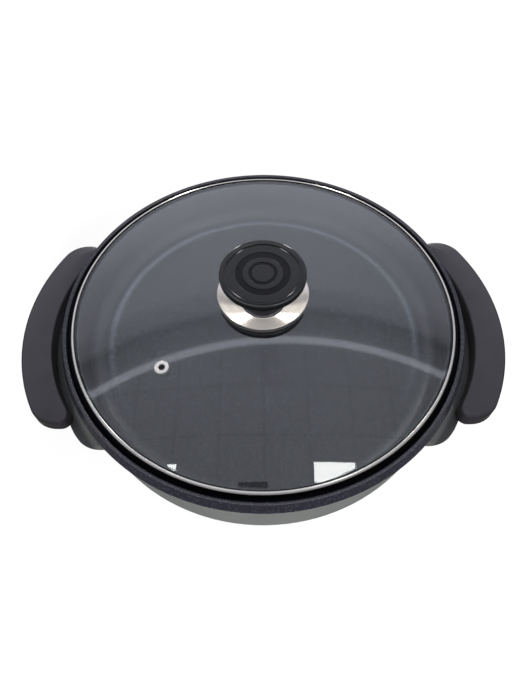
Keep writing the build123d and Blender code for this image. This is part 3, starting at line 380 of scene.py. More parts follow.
def turned_resin(name, settings):
    """Phenolic disc faced on a lathe: fine rings run round its lands. Its outer edge keeps the mould's
    polish, and the floors of its grooves are dark and shine least."""
    tree, at = new_material(name)
    height = add(tree, "SeparateXYZ", {"Vector": at}).outputs["Z"]
    sockets = {"Value": height, "From Min": CAP_TOP - 0.6 * MM, "From Max": CAP_TOP - 0.2 * MM}
    raised = add(tree, "MapRange", sockets)
    radius = distance_from_axis(tree, at)
    sockets = {"Value": radius, "From Min": CAP_RADIUS - 1.4 * MM, "From Max": CAP_RADIUS - 1.0 * MM}
    inner = add(tree, "MapRange", sockets | {"To Min": 1.0, "To Max": 0.0})
    face = add(tree, "Math", {0: raised, 1: inner}, operation="MULTIPLY")
    flat = add(tree, "UVMap", uv_map="Surface")
    drawn = add(tree, "Mapping", {"Vector": flat, "Scale": (0.02, 1.0, 1.0)})
    tool = add(tree, "TexNoise", {"Vector": drawn, "Scale": 1 / (0.3 * MM), "Detail": 2.0, "Roughness": 0.6})
    dark, light = linear(settings.cap_dark), linear(settings.cap_light)
    rings = add(tree, "Mix", {"Factor": tool, "A": dark, "B": light}, data_type="RGBA")
    floors = linear(settings.knob_dark)
    colours = add(tree, "Mix", {"Factor": face, "A": floors, "B": rings}, data_type="RGBA")
    edge = add(tree, "MapRange", {"Value": inner, "To Min": 0.07, "To Max": 0.24})
    facing = add(tree, "MapRange", {"Value": face, "To Max": 0.18})
    dull = add(tree, "Math", {0: edge, 1: facing}, operation="ADD")
    relief = add(tree, "Bump", {"Height": tool, "Distance": 0.012 * MM, "Strength": 0.35})
    # the lands are open-pored, so they shine more than the groove floors but less than the edge
    polish = add(tree, "MapRange", {"Value": inner, "To Min": 0.42, "To Max": 0.18})
    lands = add(tree, "MapRange", {"Value": face, "To Max": 0.07})
    shine = add(tree, "Math", {0: polish, 1: lands}, operation="ADD")
    sockets = {"Base Color": colours, "Roughness": dull, "Normal": relief, "IOR": 1.55}
    finish(tree, add(tree, "BsdfPrincipled", sockets | {"Specular IOR Level": shine}))


def soda_lime_glass(name, settings):
    """Toughened soda-lime glass: clear and polished on both faces, with the slight wave of the furnace,
    and greener towards its edge, where the eye looks through more of it. The last millimetres under the
    ring are tinted dark, as a dark line."""
    tree, at = new_material(name)
    wave = add(tree, "TexNoise", {"Vector": at, "Scale": 1 / (60 * MM), "Detail": 1.0})
    relief = add(tree, "Bump", {"Height": wave, "Distance": 0.02 * MM, "Strength": 0.15})
    radius = distance_from_axis(tree, at)
    sockets = {"Value": radius, "From Min": GLASS_RADIUS - 7 * MM, "From Max": GLASS_RADIUS - 1 * MM}
    edge = add(tree, "MapRange", sockets, interpolation_type="SMOOTHSTEP")
    clear, green = linear(settings.glass_tint), linear(settings.glass_edge)
    # the last millimetres of the glass under the ring are tinted dark
    start = GLASS_RADIUS - settings.edge_line_width
    edge_line = add(tree, "MapRange", {"Value": radius, "From Min": start - 0.7 * MM, "From Max": start})
    body = add(tree, "Mix", {"Factor": edge, "A": clear, "B": green}, data_type="RGBA")
    dark = linear(settings.edge_line)
    tint = add(tree, "Mix", {"Factor": edge_line, "A": body, "B": dark}, data_type="RGBA")
    sockets = {"Base Color": tint, "Roughness": 0.0, "IOR": 1.5, "Transmission Weight": 1.0}
    finish(tree, add(tree, "BsdfPrincipled", sockets | {"Normal": relief}))


def turned_steel(name, base, roughness, lines, anisotropy):
    """Stainless steel spun or rolled round an axis: fine tool lines run round it, so every light is drawn
    out across them into a streak that points at the axis."""
    tree, at = new_material(name)
    flat = add(tree, "UVMap", uv_map="Surface")
    drawn = add(tree, "Mapping", {"Vector": flat, "Scale": (0.02, 1.0, 1.0)})
    tool = add(tree, "TexNoise", {"Vector": drawn, "Scale": 1 / lines, "Detail": 2.0, "Roughness": 0.6})
    stain = add(tree, "TexNoise", {"Vector": at, "Scale": 1 / (16 * MM), "Detail": 3.0})
    shade = add(tree, "Mix", {"Factor": 0.3, "A": tool, "B": stain})
    tone = add(tree, "MapRange", {"Value": shade, "From Min": 0.3, "From Max": 0.7, "To Max": 0.3})
    clean, stained = linear(base), linear("#8d8579")
    colours = add(tree, "Mix", {"Factor": tone, "A": clean, "B": stained}, data_type="RGBA")
    dull = add(tree, "MapRange", {"Value": tool, "To Min": roughness * 0.8, "To Max": roughness * 1.3})
    relief = add(tree, "Bump", {"Height": tool, "Distance": 0.008 * MM, "Strength": 0.3})
    tangent = add(tree, "Tangent", direction_type="UV_MAP", uv_map="Surface")
    sockets = {"Base Color": colours, "Roughness": dull, "Normal": relief, "Tangent": tangent}
    # a quarter turn lays the wide side of the highlight across the tool lines
    sockets |= {"Metallic": 1.0, "Anisotropic": anisotropy, "Anisotropic Rotation": 0.25}
    finish(tree, add(tree, "BsdfPrincipled", sockets))


def plain_metal(name, base, dark, roughness, grain_size=1.2 * MM, stretch=(1, 1, 1)):
    """Plated or rolled metal: even, with a light grain that rolling may draw out, and small stains."""
    tree, at = new_material(name)
    drawn = add(tree, "Mapping", {"Vector": at, "Scale": stretch})
    fine = add(tree, "TexNoise", {"Vector": drawn, "Scale": 1 / grain_size, "Detail": 3.0, "Roughness": 0.6})
    stain = add(tree, "TexNoise", {"Vector": at, "Scale": 1 / (18 * MM), "Detail": 4.0})
    tone = add(tree, "MapRange", {"Value": stain, "From Min": 0.3, "From Max": 0.65})
    colours = add(tree, "Mix", {"Factor": tone, "A": linear(dark), "B": linear(base)}, data_type="RGBA")
    dull = add(tree, "MapRange", {"Value": fine, "To Min": roughness * 0.8, "To Max": roughness * 1.25})
    relief = add(tree, "Bump", {"Height": fine, "Distance": 0.01 * MM, "Strength": 0.3})
    sockets = {"Base Color": colours, "Roughness": dull, "Normal": relief, "Metallic": 1.0}
    finish(tree, add(tree, "BsdfPrincipled", sockets))


def soft_polymer(name, dark, light, roughness):
    """Moulded rubber or silicone: soft sheen, fine matte texture."""
    tree, at = new_material(name)
    fine = add(tree, "TexNoise", {"Vector": at, "Scale": 1 / (0.7 * MM), "Detail": 3.0, "Roughness": 0.6})
    colours = add(tree, "Mix", {"Factor": fine, "A": linear(dark), "B": linear(light)}, data_type="RGBA")
    dull = add(tree, "MapRange", {"Value": fine, "To Min": roughness - 0.08, "To Max": roughness + 0.08})
    relief = add(tree, "Bump", {"Height": fine, "Distance": 0.03 * MM, "Strength": 0.4})
    sockets = {"Base Color": colours, "Roughness": dull, "Normal": relief}
    finish(tree, add(tree, "BsdfPrincipled", sockets | {"Sheen Weight": 0.08, "Sheen Roughness": 0.5}))


def fired_ceramic(name):
    """Unglazed steatite: off-white, matte, finely pitted."""
    tree, at = new_material(name)
    pits = add(tree, "TexNoise", {"Vector": at, "Scale": 1 / (0.6 * MM), "Detail": 4.0, "Roughness": 0.65})
    tone = add(tree, "MapRange", {"Value": pits, "From Min": 0.3, "From Max": 0.7})
    dark, light = linear("#c9c2b0"), linear("#e4dfd0")
    colours = add(tree, "Mix", {"Factor": tone, "A": dark, "B": light}, data_type="RGBA")
    relief = add(tree, "Bump", {"Height": pits, "Distance": 0.03 * MM, "Strength": 0.5})
    finish(tree, add(tree, "BsdfPrincipled", {"Base Color": colours, "Roughness": 0.8, "Normal": relief}))


class GriddleFinish(bpy.types.PropertyGroup):
    """Colours and texture sizes of the finishes."""

    coating_dark: colour("Coating dark", "#08090c", "Darker cloud of the non-stick coating")
    coating_light: colour("Coating light", "#0e0f14", "Lighter cloud of the non-stick coating")
    coating_flake_and_highlight: colour("Coating flake", "#9aa2b4", "Mica flakes in the coating")
    coating_peel: length("Coating peel", 0.7 * MM, "Width of the coating's orange peel")
    rim_peel: length("Rim peel", 1.5 * MM, "Width of the orange peel on the rim")
    peel_height: length("Peel height", 0.16 * MM, "Height of the orange peel on the rim")
    coating_skirt: length("Coating skirt", 4.4 * MM, "From the skirt's foot in to the rim's outer shoulder")
    floor_flakes: length("Floor flakes", 1.9 * MM, "Distance between flakes on the cooking floor")
    rim_flakes: length("Rim flakes", 1.7 * MM, "Distance between flakes on the rim")
    floor_glint: share("Floor glint", 0.8, "How much the flakes show on the cooking floor")
    rim_glint: share("Rim glint", 0.5, "How much the flakes show on the rim")
    rim_cast: colour("Rim cast", "#23212c", "Colour of the thick coat on the rim")
    rim_glaze: share("Rim glaze", 0.45, "How much of that colour the rim takes")
    # painted highlight: a pale band at the foot of the pan's wall, in the flake colour, strongest at the back
    highlighted: share("Highlighted", 0.45, "How pale the rubbed band is")
    highlighted_inset: length("Rubbed inset", 40 * MM, "From the pan's edge to the middle of the rubbed band")
    highlighted_width: length("Rubbed width", 9 * MM, "Width of the rubbed band")
    base_dark: colour("Base dark", "#595b5a", "Darker tone of the grey base")
    base_light: colour("Base light", "#616361", "Lighter tone of the grey base")
    base_radius: length("Base radius", 190 * MM, "Radius of the base's wall at its top")
    base_taper: length("Base taper", 7.7 * MM, "How much narrower the base is at its foot")
    # painted shade on the lugs under the handles
    lug_shade: colour("Lug shade", "#101112", "Colour that the lugs under the handles darken towards")
    lug_shade_near: share("Lug dark", 0.45, "How much of that shade a lug takes beside the wall")
    lug_shade_end: share("Lug end dark", 0.9, "How much of that shade a lug takes at its end")
    handle_dark: colour("Handle dark", "#131114", "Darker tone of the handles")
    handle_light: colour("Handle light", "#1b181e", "Lighter tone of the handles")
    knob_dark: colour("Knob dark", "#040405", "Darker tone of the glossy knob")
    knob_light: colour("Knob light", "#080809", "Lighter tone of the glossy knob")
    cap_dark: colour("Cap dark", "#0b0b0c", "Darker tool lines of the knob's face")
    cap_light: colour("Cap light", "#141415", "Lighter tool lines of the knob's face")
    glass_tint: colour("Glass tint", "#f6f9f8", "Tint of the lid's glass")
    glass_edge: colour("Glass edge", "#e0eae6", "Tint of the glass near its edge")
    # a dark tint in the last millimetres of the glass under the ring
    edge_line: colour("Edge line", "#20201f", "Colour of the seal that shows through the edge of the glass")
    edge_line_width: length("Seal width", 2.9 * MM, "How far in from the edge of the glass the seal reaches")
    steel: colour("Steel", "#d6cfc6", "Bright stainless steel")


class GriddleShape(bpy.types.PropertyGroup):
    """Sizes of the surfaces that the scene adds."""

    pan_depth: length("Pan depth", 41.8 * MM, "From the rim down to the pan's floor")
    pan_floor: length("Pan floor", 4.0 * MM, "Thickness of the pan's floor")
    pan_wall: length("Pan wall", 3.2 * MM, "Thickness of the pan's wall")
    pan_taper: length("Pan taper", 3.5 * MM, "How far the pan's wall leans in")
    pan_corner: length("Pan corner", 14.0 * MM, "Rounding between the pan's floor and wall")
    seat_depth: length("Seat depth", 4.2 * MM, "From the rim down to the lid's seat")
    seat_gap: length("Seat gap", 3.5 * MM, "Space round the lid on its seat")
    seat_land: length("Seat land", 6.0 * MM, "How far the seat reaches in under the lid")
    skirt_drop: length("Skirt drop", 11.3 * MM, "Height of the skirt outside the rim")
    skirt_flare: length("Skirt flare", 3.87 * MM, "How far the skirt leans out")
    skirt_land: length("Skirt land", 5.0 * MM, "Width of the skirt's lower edge")
    bead_inside: length("Bead inside", 3.9 * MM, "Rounding of the rim's inner edge")
    bead_outside: length("Bead outside", 0.95 * MM, "Rounding of the rim's outer edge")
    rib_radius: length("Rib radius", 111.9 * MM, "Middle of the rib that the heating element lies under")
    rib_width: length("Rib width", 16.0 * MM, "Width of the rib")
    rib_depth: length("Rib depth", 7.0 * MM, "Depth of the rib")
    glass_thickness: length("Glass thickness", 4 * MM, "Thickness of the lid's glass")
    glass_flat: length("Glass flat", 2.8 * MM, "Width of the flat band round the glass")
    ring_sheet: length("Ring sheet", 1.0 * MM, "Thickness of the lid ring's steel")
    ring_cover: length("Ring cover", 2.9 * MM, "How far the ring reaches over the glass")
    dish_sheet: length("Dish sheet", 0.8 * MM, "Thickness of the spun dish")
    dish_centre: length("Dish centre", 21.0 * MM, "Radius of the dish's flat centre")
    dish_band: length("Dish band", 4.8 * MM, "Height of the dish's turned-down band")
    knob_foot: length("Knob foot", 20.6 * MM, "Radius of the knob's foot")
    knob_waist: length("Knob waist", 13.0 * MM, "Radius of the knob's waist")
    knob_edge: length("Knob edge", 7.2 * MM, "Height of the knob's edge")
    handle_outer: length("Handle outer arc", 186.0 * MM, "Radius of the handle's outer side in plan")
    handle_inner: length("Handle inner arc", 162.3 * MM, "Radius of the handle's inner side in plan")
    handle_width: length("Handle width", 30.0 * MM, "Width of the handle at its middle")
    handle_outer_corner: length("Handle outer corner", 26.0 * MM, "Outer corner radius in plan")
    handle_inner_corner: length("Handle inner corner", 9.0 * MM, "Inner corner radius in plan")
    handle_crown: length("Handle crown", 0.8 * MM, "How much the handle's top is domed")
    handle_edge: length("Handle edge", 3.2 * MM, "Rounding of the handle's upper edge")
    handle_under_edge: length("Handle underside edge", 1.5 * MM, "Rounding of the handle's lower edge")
    handle_seam: length("Handle seam", 5.0 * MM, "Height of the mould line above the handle's underside")
    vent_flange: length("Vent flange", 6.6 * MM, "Radius of the eyelet's flange")
    vent_bore: length("Vent bore", 2.6 * MM, "Radius of the hole through the eyelet")
    vent_thick: length("Vent flange thickness", 1.3 * MM, "Height of the eyelet's flange")
    vent_swage: length("Vent swage", 4.8 * MM, "Radius of the lip rolled under the glass")
    vent_gasket: length("Vent gasket", 0.65 * MM, "Height of the gasket under the eyelet's flange")
    segments: IntProperty(name="Segments", description="Facets round a turned piece", default=192, min=24)


class GriddleStage(bpy.types.PropertyGroup):
    """The camera, the lamps and the reflected surroundings."""

    focal_length: FloatProperty(
        name="Focal length", description="Of the camera, in millimetres", default=29.2, unit="CAMERA"
    )
    distance: length("Distance", 516 * MM, "From the camera to the point it looks at")
    elevation: angle("Elevation", 57.83, "Of the camera above the table")
    azimuth: angle("Azimuth", -0.38, "Of the camera to the right of the front")
    roll: angle("Roll", 0.32, "Turn of the camera about its line of sight")
    target: FloatVectorProperty(
        name="Target", description="Point the camera looks at", default=(0.001, -0.0449, 0.081), unit="LENGTH"
    )
    shift: FloatVectorProperty(
        name="Shift", description="Lens shift across and up", default=(-0.0033, 0.0), size=2
    )
    daylight: share("Daylight", 0.05, "Strength of the even light from all round")
    bounce: colour("Bounce", "#404040", "Tone of the paper in the light that it throws back up")
    own_white: share("Own white", 0.85, "How much of the paper's white is its own")
    key_power: watts("Key lamp", 4.0, "Power of the lamp on the left")
    top_power: watts("Top lamp", 9.0, "Power of the large soft lamp above")
    front_power: watts("Front lamp", 60.0, "Power of the lamp before the object")
    back_power: watts("Back lamp", 26.0, "Power of the lamp behind the object")
    right_power: watts("Right lamp", 16.0, "Power of the lamp on the right")
    gloss_power: watts("Gloss lamp", 9.0, "Power of the lamp for the coating")
    ring_power: watts("Ring lamp", 3.4, "Power of the lamp for the rolled steel")
    steel_power: watts("Dish lamp", 8.0, "Power of the lamp for the spun dish")
    room_tint: colour("Room tint", "#edf0ff", "Tint of the room in the reflections")
    ceiling_height: length("Ceiling height", 2.0, "Height of the ceiling that polished pieces reflect")
    cove_radius: length("Cove radius", 3.0, "Radius in plan of the ceiling's bright edge")
    cove_centre: FloatVectorProperty(
        name="Cove centre", description="Centre in plan of the ceiling's bright edge",
        default=(0.2, -1.93), size=2, unit="LENGTH",
    )
    tile: FloatVectorProperty(
        name="Tile", description="Size of a ceiling tile", default=(0.285, 0.35), size=2, unit="LENGTH"
    )


# Operators


class GRIDDLE_OT_finishes(bpy.types.Operator):
    """Make every finish and give the construction's own pieces theirs"""

    bl_idname = "griddle.finishes"
    bl_label = "Finishes"

    def execute(self, context):
        settings = context.scene.griddle_finish
        nonstick_coating("sprayed non-stick coating", settings)
        grey_moulding("grey moulded polyamide", settings)
        dark, light = settings.handle_dark, settings.handle_light
        phenolic_moulding("phenolic resin, satin", dark, light, 0.3, 0.4)
        dark, light = settings.knob_dark, settings.knob_light
        phenolic_moulding("phenolic resin, polished", dark, light, 0.06, 0.12, 0.38)
        turned_resin("phenolic resin, turned face", settings)
        phenolic_moulding("black moulded polyamide", "#101010", "#191919", 0.55, 0.65)
        soda_lime_glass("toughened soda-lime glass", settings)
        turned_steel("rolled stainless steel", "#cbc8c2", 0.16, 0.2 * MM, 0.2)
        turned_steel("spun stainless steel", settings.steel, 0.24, 0.3 * MM, 0.75)
        plain_metal("pressed stainless steel", "#c6c3bc", "#b5b2ab", 0.25)
        plain_metal("galvanised steel sheet", "#a9aaa6", "#8f918e", 0.5, 2.5 * MM)
        plain_metal("plated steel", "#b9b7b0", "#9d9b94", 0.35)
        plain_metal("heat-darkened steel", "#5b5148", "#3c352f", 0.5)
        plain_metal("nickel-plated brass", "#cfc8b8", "#b3aa98", 0.28)
        plain_metal("turned brass", "#c29a54", "#a07c3c", 0.35)
        plain_metal("drawn aluminium", "#c7c8c9", "#adaeb0", 0.38, 0.8 * MM, (1, 0.05, 1))
        soft_polymer("moulded rubber", "#0d0d0d", "#161616", 0.75)
        soft_polymer("grey silicone rubber", "#4a4b4c", "#5b5c5d", 0.6)
        fired_ceramic("unglazed steatite")
        finish_of_slot = {
            "pan_coating": "sprayed non-stick coating",
            "base_plastic": "grey moulded polyamide",
            "handle_plastic": "phenolic resin, satin",
            "shroud_plastic": "black moulded polyamide",
            "plate_steel": "galvanised steel sheet",
            "bright_steel": "plated steel",
            "clamp_steel": "plated steel",
            "element_sheath": "heat-darkened steel",
            "contact_metal": "nickel-plated brass",
            "probe_metal": "drawn aluminium",
            "bush_ceramic": "unglazed steatite",
            "insert_brass": "turned brass",
            "foot_rubber": "moulded rubber",
            "silicone": "grey silicone rubber",
            "lid_clear_glass": "toughened soda-lime glass",
            "ring_steel": "pressed stainless steel",
            "dish_steel": "pressed stainless steel",
            "knob_gloss": "phenolic resin, polished",
            "knob_insert": "phenolic resin, turned face",
        }
        for part in frame["record"]["subparts"]:
            node = frame["nodes"][part["node"]]
            for slot in node.material_slots:
                slot.material = bpy.data.materials[finish_of_slot[part["material_slot"]]]
        return {"FINISHED"}


class GRIDDLE_OT_pan(bpy.types.Operator):
    """Build the pan's coated skin, its rim a rounded bead between the lid's seat and the flared skirt"""

    bl_idname = "griddle.pan"
    bl_label = "Pan"

    def execute(self, context):
        shape = context.scene.griddle_shape
        floor = PAN_TOP - shape.pan_depth
        under = floor - shape.pan_floor
        seat = PAN_TOP - shape.seat_depth
        foot = PAN_TOP - shape.skirt_drop
        seat_radius = LID_RADIUS + shape.seat_gap
        mouth = LID_RADIUS - shape.seat_land
        floor_radius = mouth - shape.pan_taper
        skirt_inner = PAN_RADIUS - shape.skirt_land
        rib_inner = shape.rib_radius - shape.rib_width / 2
        rib_outer = shape.rib_radius + shape.rib_width / 2
        edge = 1.2 * MM
        rib_round = 2 * MM
        section = rounded(
            [
                (0.0, under),
                (rib_inner, under),
                (rib_inner, under - shape.rib_depth),
                (rib_outer, under - shape.rib_depth),
                (rib_outer, under),
                (floor_radius + shape.pan_wall, under),
                (mouth + shape.pan_wall, seat - shape.pan_wall),
                (skirt_inner, seat - shape.pan_wall),
                (skirt_inner, foot),
                (PAN_RADIUS, foot),
                (PAN_RADIUS - shape.skirt_flare, PAN_TOP),
                (seat_radius, PAN_TOP),
                (seat_radius, seat),
                (mouth, seat),
                (floor_radius, floor),
                (0.0, floor),
            ],
            [
                0, rib_round, rib_round, rib_round, rib_round, shape.pan_corner + shape.pan_wall, edge, edge,
                edge, edge, shape.bead_outside, shape.bead_inside, 0.5 * MM, edge, shape.pan_corner, 0,
            ],
            12,
        )
        piece = turned("griddle_pan_coated", section, 2 * shape.segments)
        place(piece, "base", "sprayed non-stick coating", "pan_coating", "griddle_pan")
        return {"FINISHED"}


def dome(shape):
    """The dome of the glass: the radius r in plan that it ends at, and the radius of its sphere, which is
    (r**2 + h**2) / 2h for its rise h."""
    end = GLASS_RADIUS - shape.glass_flat
    rise = GLASS_APEX - (GLASS_BOTTOM + shape.glass_thickness)
    return end, (end**2 + rise**2) / (2 * rise)


class GRIDDLE_OT_lid(bpy.types.Operator):
    """Build the domed glass with its steam hole, and the rolled ring round it"""

    bl_idname = "griddle.lid"
    bl_label = "Lid"

    def execute(self, context):
        shape = context.scene.griddle_shape
        thickness = shape.glass_thickness
        edge_top = GLASS_BOTTOM + thickness
        dome_radius, sphere = dome(shape)
        middle_hole = SCREW_HOLE + 1 * MM
        vent_hole = 3.4 * MM
        r = np.linspace(middle_hole, dome_radius, 60)
        top = np.column_stack([r, GLASS_APEX - sphere + np.sqrt(sphere**2 - r**2)])
        edge = 1.2 * MM
        rim = np.vstack(
            [
                arc((GLASS_RADIUS - edge, edge_top - edge), edge, 90, 0, 6),
                arc((GLASS_RADIUS - edge, GLASS_BOTTOM + edge), edge, 0, -90, 6),
            ]
        )
        under = top[::-1] - (0.0, thickness)
        glass = turned("lid_glass_clear", np.vstack([top, rim, under]), shape.segments)
        eyelet_low, eyelet_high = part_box("vent_eyelet")
        at = (eyelet_low + eyelet_high) / 2
        bpy.ops.mesh.primitive_cylinder_add(vertices=48, radius=vent_hole, depth=30 * MM, location=at)
        cut(glass, context.object)
        place(glass, "lid", "toughened soda-lime glass", "lid_clear_glass", "lid_glass")
        hide(glass, "shadow")
        sheet = shape.ring_sheet
        inner = LID_RADIUS - shape.ring_cover
        lip, outer_bend, inner_bend = 0.45 * sheet, 2.2 * MM, 1.2 * MM
        section = rounded(
            [
                (inner, RING_BOTTOM),
                (LID_RADIUS, RING_BOTTOM),
                (LID_RADIUS, RING_TOP),
                (inner, RING_TOP),
                (inner, RING_TOP - sheet),
                (LID_RADIUS - sheet, RING_TOP - sheet),
                (LID_RADIUS - sheet, RING_BOTTOM + sheet),
                (inner, RING_BOTTOM + sheet),
            ],
            [lip, outer_bend, outer_bend, lip, lip, inner_bend, inner_bend, lip],
            8,
        )
        ring = turned("lid_ring_rolled", section, 2 * shape.segments)
        place(ring, "lid", "rolled stainless steel", "ring_steel", "lid_ring")
        return {"FINISHED"}


class GRIDDLE_OT_knob(bpy.types.Operator):
    """Build the knob with its ringed face, and the spun dish under it"""

    bl_idname = "griddle.knob"
    bl_label = "Knob"

    def execute(self, context):
        shape = context.scene.griddle_shape
        segments = shape.segments
        sheet = shape.dish_sheet
        floor = DISH_UNDER + sheet
        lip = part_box("knob_dish")[1].z
        dish = rounded(
            [
                (SCREW_HOLE, DISH_UNDER),
                (shape.dish_centre + 0.3 * sheet, DISH_UNDER),
                (DISH_RADIUS - sheet, lip - 2.2 * sheet),
                (DISH_RADIUS - sheet, lip - shape.dish_band),
                (DISH_RADIUS, lip - shape.dish_band),
                (DISH_RADIUS, lip),
                (shape.dish_centre, floor),
                (SCREW_HOLE, floor),
            ],
            [0.2 * MM, 1.8 * MM, 0.2 * MM, 0.2 * MM, 0.2 * MM, 0.55 * MM, 1.5 * MM, 0.2 * MM],
            8,
        )
        piece = turned("knob_dish_spun", dish, segments)
        place(piece, "lid", "spun stainless steel", "dish_steel", "knob_dish")
        # the glass and the coating show the bright room rather than the knob's own dark image
        hide(piece, "glossy", "transmission", "shadow")
        under = KNOB_TOP - shape.knob_edge
        edge = 3.0 * MM
        foot_top = KNOB_BOTTOM + 1.5 * MM
        waist_z = KNOB_BOTTOM + 14.5 * MM
        waist = shape.knob_waist
        neck = np.vstack(
            [
                bezier(
                    (shape.knob_foot, foot_top),
                    ((shape.knob_foot + waist) / 2, foot_top),
                    (waist, (foot_top + waist_z) / 2),
                    (waist, waist_z),
                    16,
                ),
                bezier(
                    (waist, waist_z),
                    (waist, (waist_z + under) / 2),
                    ((waist + KNOB_RADIUS - edge) / 2, under),
                    (KNOB_RADIUS - edge, under),
                    20,
                )[1:],
            ]
        )
        lip_round = 2.0 * MM
        recess, recess_round = CAP_RADIUS + 0.05 * MM, 1.2 * MM
        bore, foot_round = 5.05 * MM, 0.4 * MM
        head = np.vstack(
            [
                arc((KNOB_RADIUS - edge, under + edge), edge, -90, 0, 10)[1:],
                arc((KNOB_RADIUS - lip_round, KNOB_TOP - lip_round), lip_round, 0, 90, 10),
                arc((recess + recess_round, KNOB_TOP - recess_round), recess_round, 90, 180, 8),
                [(recess, CAP_BOTTOM), (bore, CAP_BOTTOM - 0.01 * MM), (bore, KNOB_BOTTOM)],
                arc((shape.knob_foot - foot_round, KNOB_BOTTOM + foot_round), foot_round, -90, 0, 4),
            ]
        )
        piece = turned("knob_body_moulded", np.vstack([neck, head]), segments)
        place(piece, "lid", "phenolic resin, polished", "knob_gloss", "knob_body")
        hide(piece, "glossy", "transmission")
        for node in ("knob_seat", "knob_nut", "knob_screw", "knob_washer"):
            hide(frame["nodes"][node], "glossy", "transmission")
        # each groove runs from an inner to an outer radius, and its sides lean in towards its floor
        grooves = (9.6 * MM, 12.9 * MM), (17.7 * MM, 24.4 * MM)
        groove_floor, lean = CAP_TOP - 0.8 * MM, 0.3 * MM
        corners = [(0.0, CAP_BOTTOM), (CAP_RADIUS, CAP_BOTTOM), (CAP_RADIUS, CAP_TOP)]
        radii = [0, 0, 0.9 * MM]
        for inner, outer in reversed(grooves):
            corners += [(outer, CAP_TOP), (outer - lean, groove_floor)]
            corners += [(inner + lean, groove_floor), (inner, CAP_TOP)]
            radii += [0.35 * MM] * 4
        corners += [(0.0, CAP_TOP)]
        radii += [0]
        piece = turned("knob_cap_ringed", rounded(corners, radii, 5), segments)
        place(piece, "lid", "phenolic resin, turned face", "knob_insert", "knob_cap")
        hide(piece, "glossy", "transmission")
        return {"FINISHED"}


def handle_outline(shape, inset, along=48, turns=16):
    """The right handle's outline in plan, drawn inwards by inset: an outer arc and an inner arc about
    centres on the X axis, joined at each end by two corner arcs and a short straight. Every arc keeps its
    centre and changes its radius by the inset, so the inset outline is exact. The inner arc has as many
    points as the outer one, and pairs with it in reverse."""
    tip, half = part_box("handle_right")[1].xy
    outer_x = tip - shape.handle_outer
    inner_x = tip - shape.handle_width - shape.handle_inner
    big, small = shape.handle_outer_corner, shape.handle_inner_corner
    big_angle = math.degrees(math.asin((half - big) / (shape.handle_outer - big)))
    small_angle = math.degrees(math.asin((half - small) / (shape.handle_inner + small)))
    big_x = outer_x + (shape.handle_outer - big) * math.cos(math.radians(big_angle))
    small_x = inner_x + (shape.handle_inner + small) * math.cos(math.radians(small_angle))
    outer = arc((outer_x, 0), shape.handle_outer - inset, -big_angle, big_angle, along)
    inner = arc((inner_x, 0), shape.handle_inner + inset, small_angle, -small_angle, along)
    far_corner = arc((big_x, half - big), big - inset, big_angle, 90, turns)[1:]
    near_corner = arc((small_x, half - small), small - inset, 90, 180 + small_angle, turns)[:-1]
    end = np.vstack([far_corner, near_corner])
    return np.vstack([outer, end, inner, end[::-1] * (1, -1)])


def handle_spine(outline, along=48):
    """The line that the top and the underside close on: midway between paired points of the two long
    arcs, and held at its own ends for the points of the corners."""
    turns = (len(outline) - 2 * (along + 1)) // 2
    outer = outline[: along + 1]
    inner = outline[along + 1 + turns : 2 * (along + 1) + turns]
    middle = (outer + inner[::-1]) / 2
    ends = np.repeat(middle[-1:], turns, 0), np.repeat(middle[:1], turns, 0)
    return np.vstack([middle, ends[0], middle[::-1], ends[1]])


def handle_grid(shape):
    """Rows of the right handle's skin from the middle of its underside to the middle of its top. The
    outline is drawn in by a rounding's 1 - cos while it climbs by its sin, and the top then swells by a
    parabola that starts at the slope where the edge's rounding leaves off."""
    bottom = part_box("handle_right")[0].z
    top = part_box("handle_right")[1].z
    low, edge, crown = shape.handle_under_edge, shape.handle_edge, shape.handle_crown
    reach = shape.handle_width / 2 - edge
    # the last drawn outline keeps a little of its smallest corner
    widest = min(shape.handle_inner_corner, shape.handle_outer_corner) - 0.6 * MM
    meet = math.degrees(math.atan(2 * crown / reach))
    rows = [(widest, bottom)]
    under = arc((low, bottom + low), low, 270, 180, 6)
    rows += [(inset, z) for inset, z in under]
    upper = arc((edge, top - crown - edge), edge, 180, 90 + meet, 12)
    seam, seam_half, seam_depth = bottom + shape.handle_seam, 0.25 * MM, 0.18 * MM
    rows += [(0.0, seam - seam_half), (seam_depth, seam), (0.0, seam + seam_half)]
    rows += [(inset, z) for inset, z in upper]
    last_inset, last_z = rows[-1]
    for part in np.linspace(0, 1, 6)[1:]:
        inset = last_inset + (widest - last_inset) * part
        left = (shape.handle_width / 2 - inset) / (shape.handle_width / 2 - last_inset)
        rows.append((inset, top - (top - last_z) * left**2))
    drawn = [level(handle_outline(shape, inset), z) for inset, z in rows]
    spine = handle_spine(handle_outline(shape, widest))
    last = drawn[-1]
    swell = [last + (level(spine, top) - last) * part for part in (0.5, 1.0)]
    swell[0][:, 2] = top - (top - last[0, 2]) / 4
    return np.stack([level(spine, bottom)] + drawn + swell)


class GRIDDLE_OT_handles(bpy.types.Operator):
    """Build the two crescent handles with a domed top and the fine line where the mould closed"""

    bl_idname = "griddle.handles"
    bl_label = "Handles"

    def execute(self, context):
        grid = handle_grid(context.scene.griddle_shape)
        for side, name in ((1, "right"), (-1, "left")):
            piece = surface("handle_moulded_" + name, grid * (side, 1, 1), False, True, 50.0)
            place(piece, "base", "phenolic resin, satin", "handle_plastic", "handle_" + name)
        return {"FINISHED"}


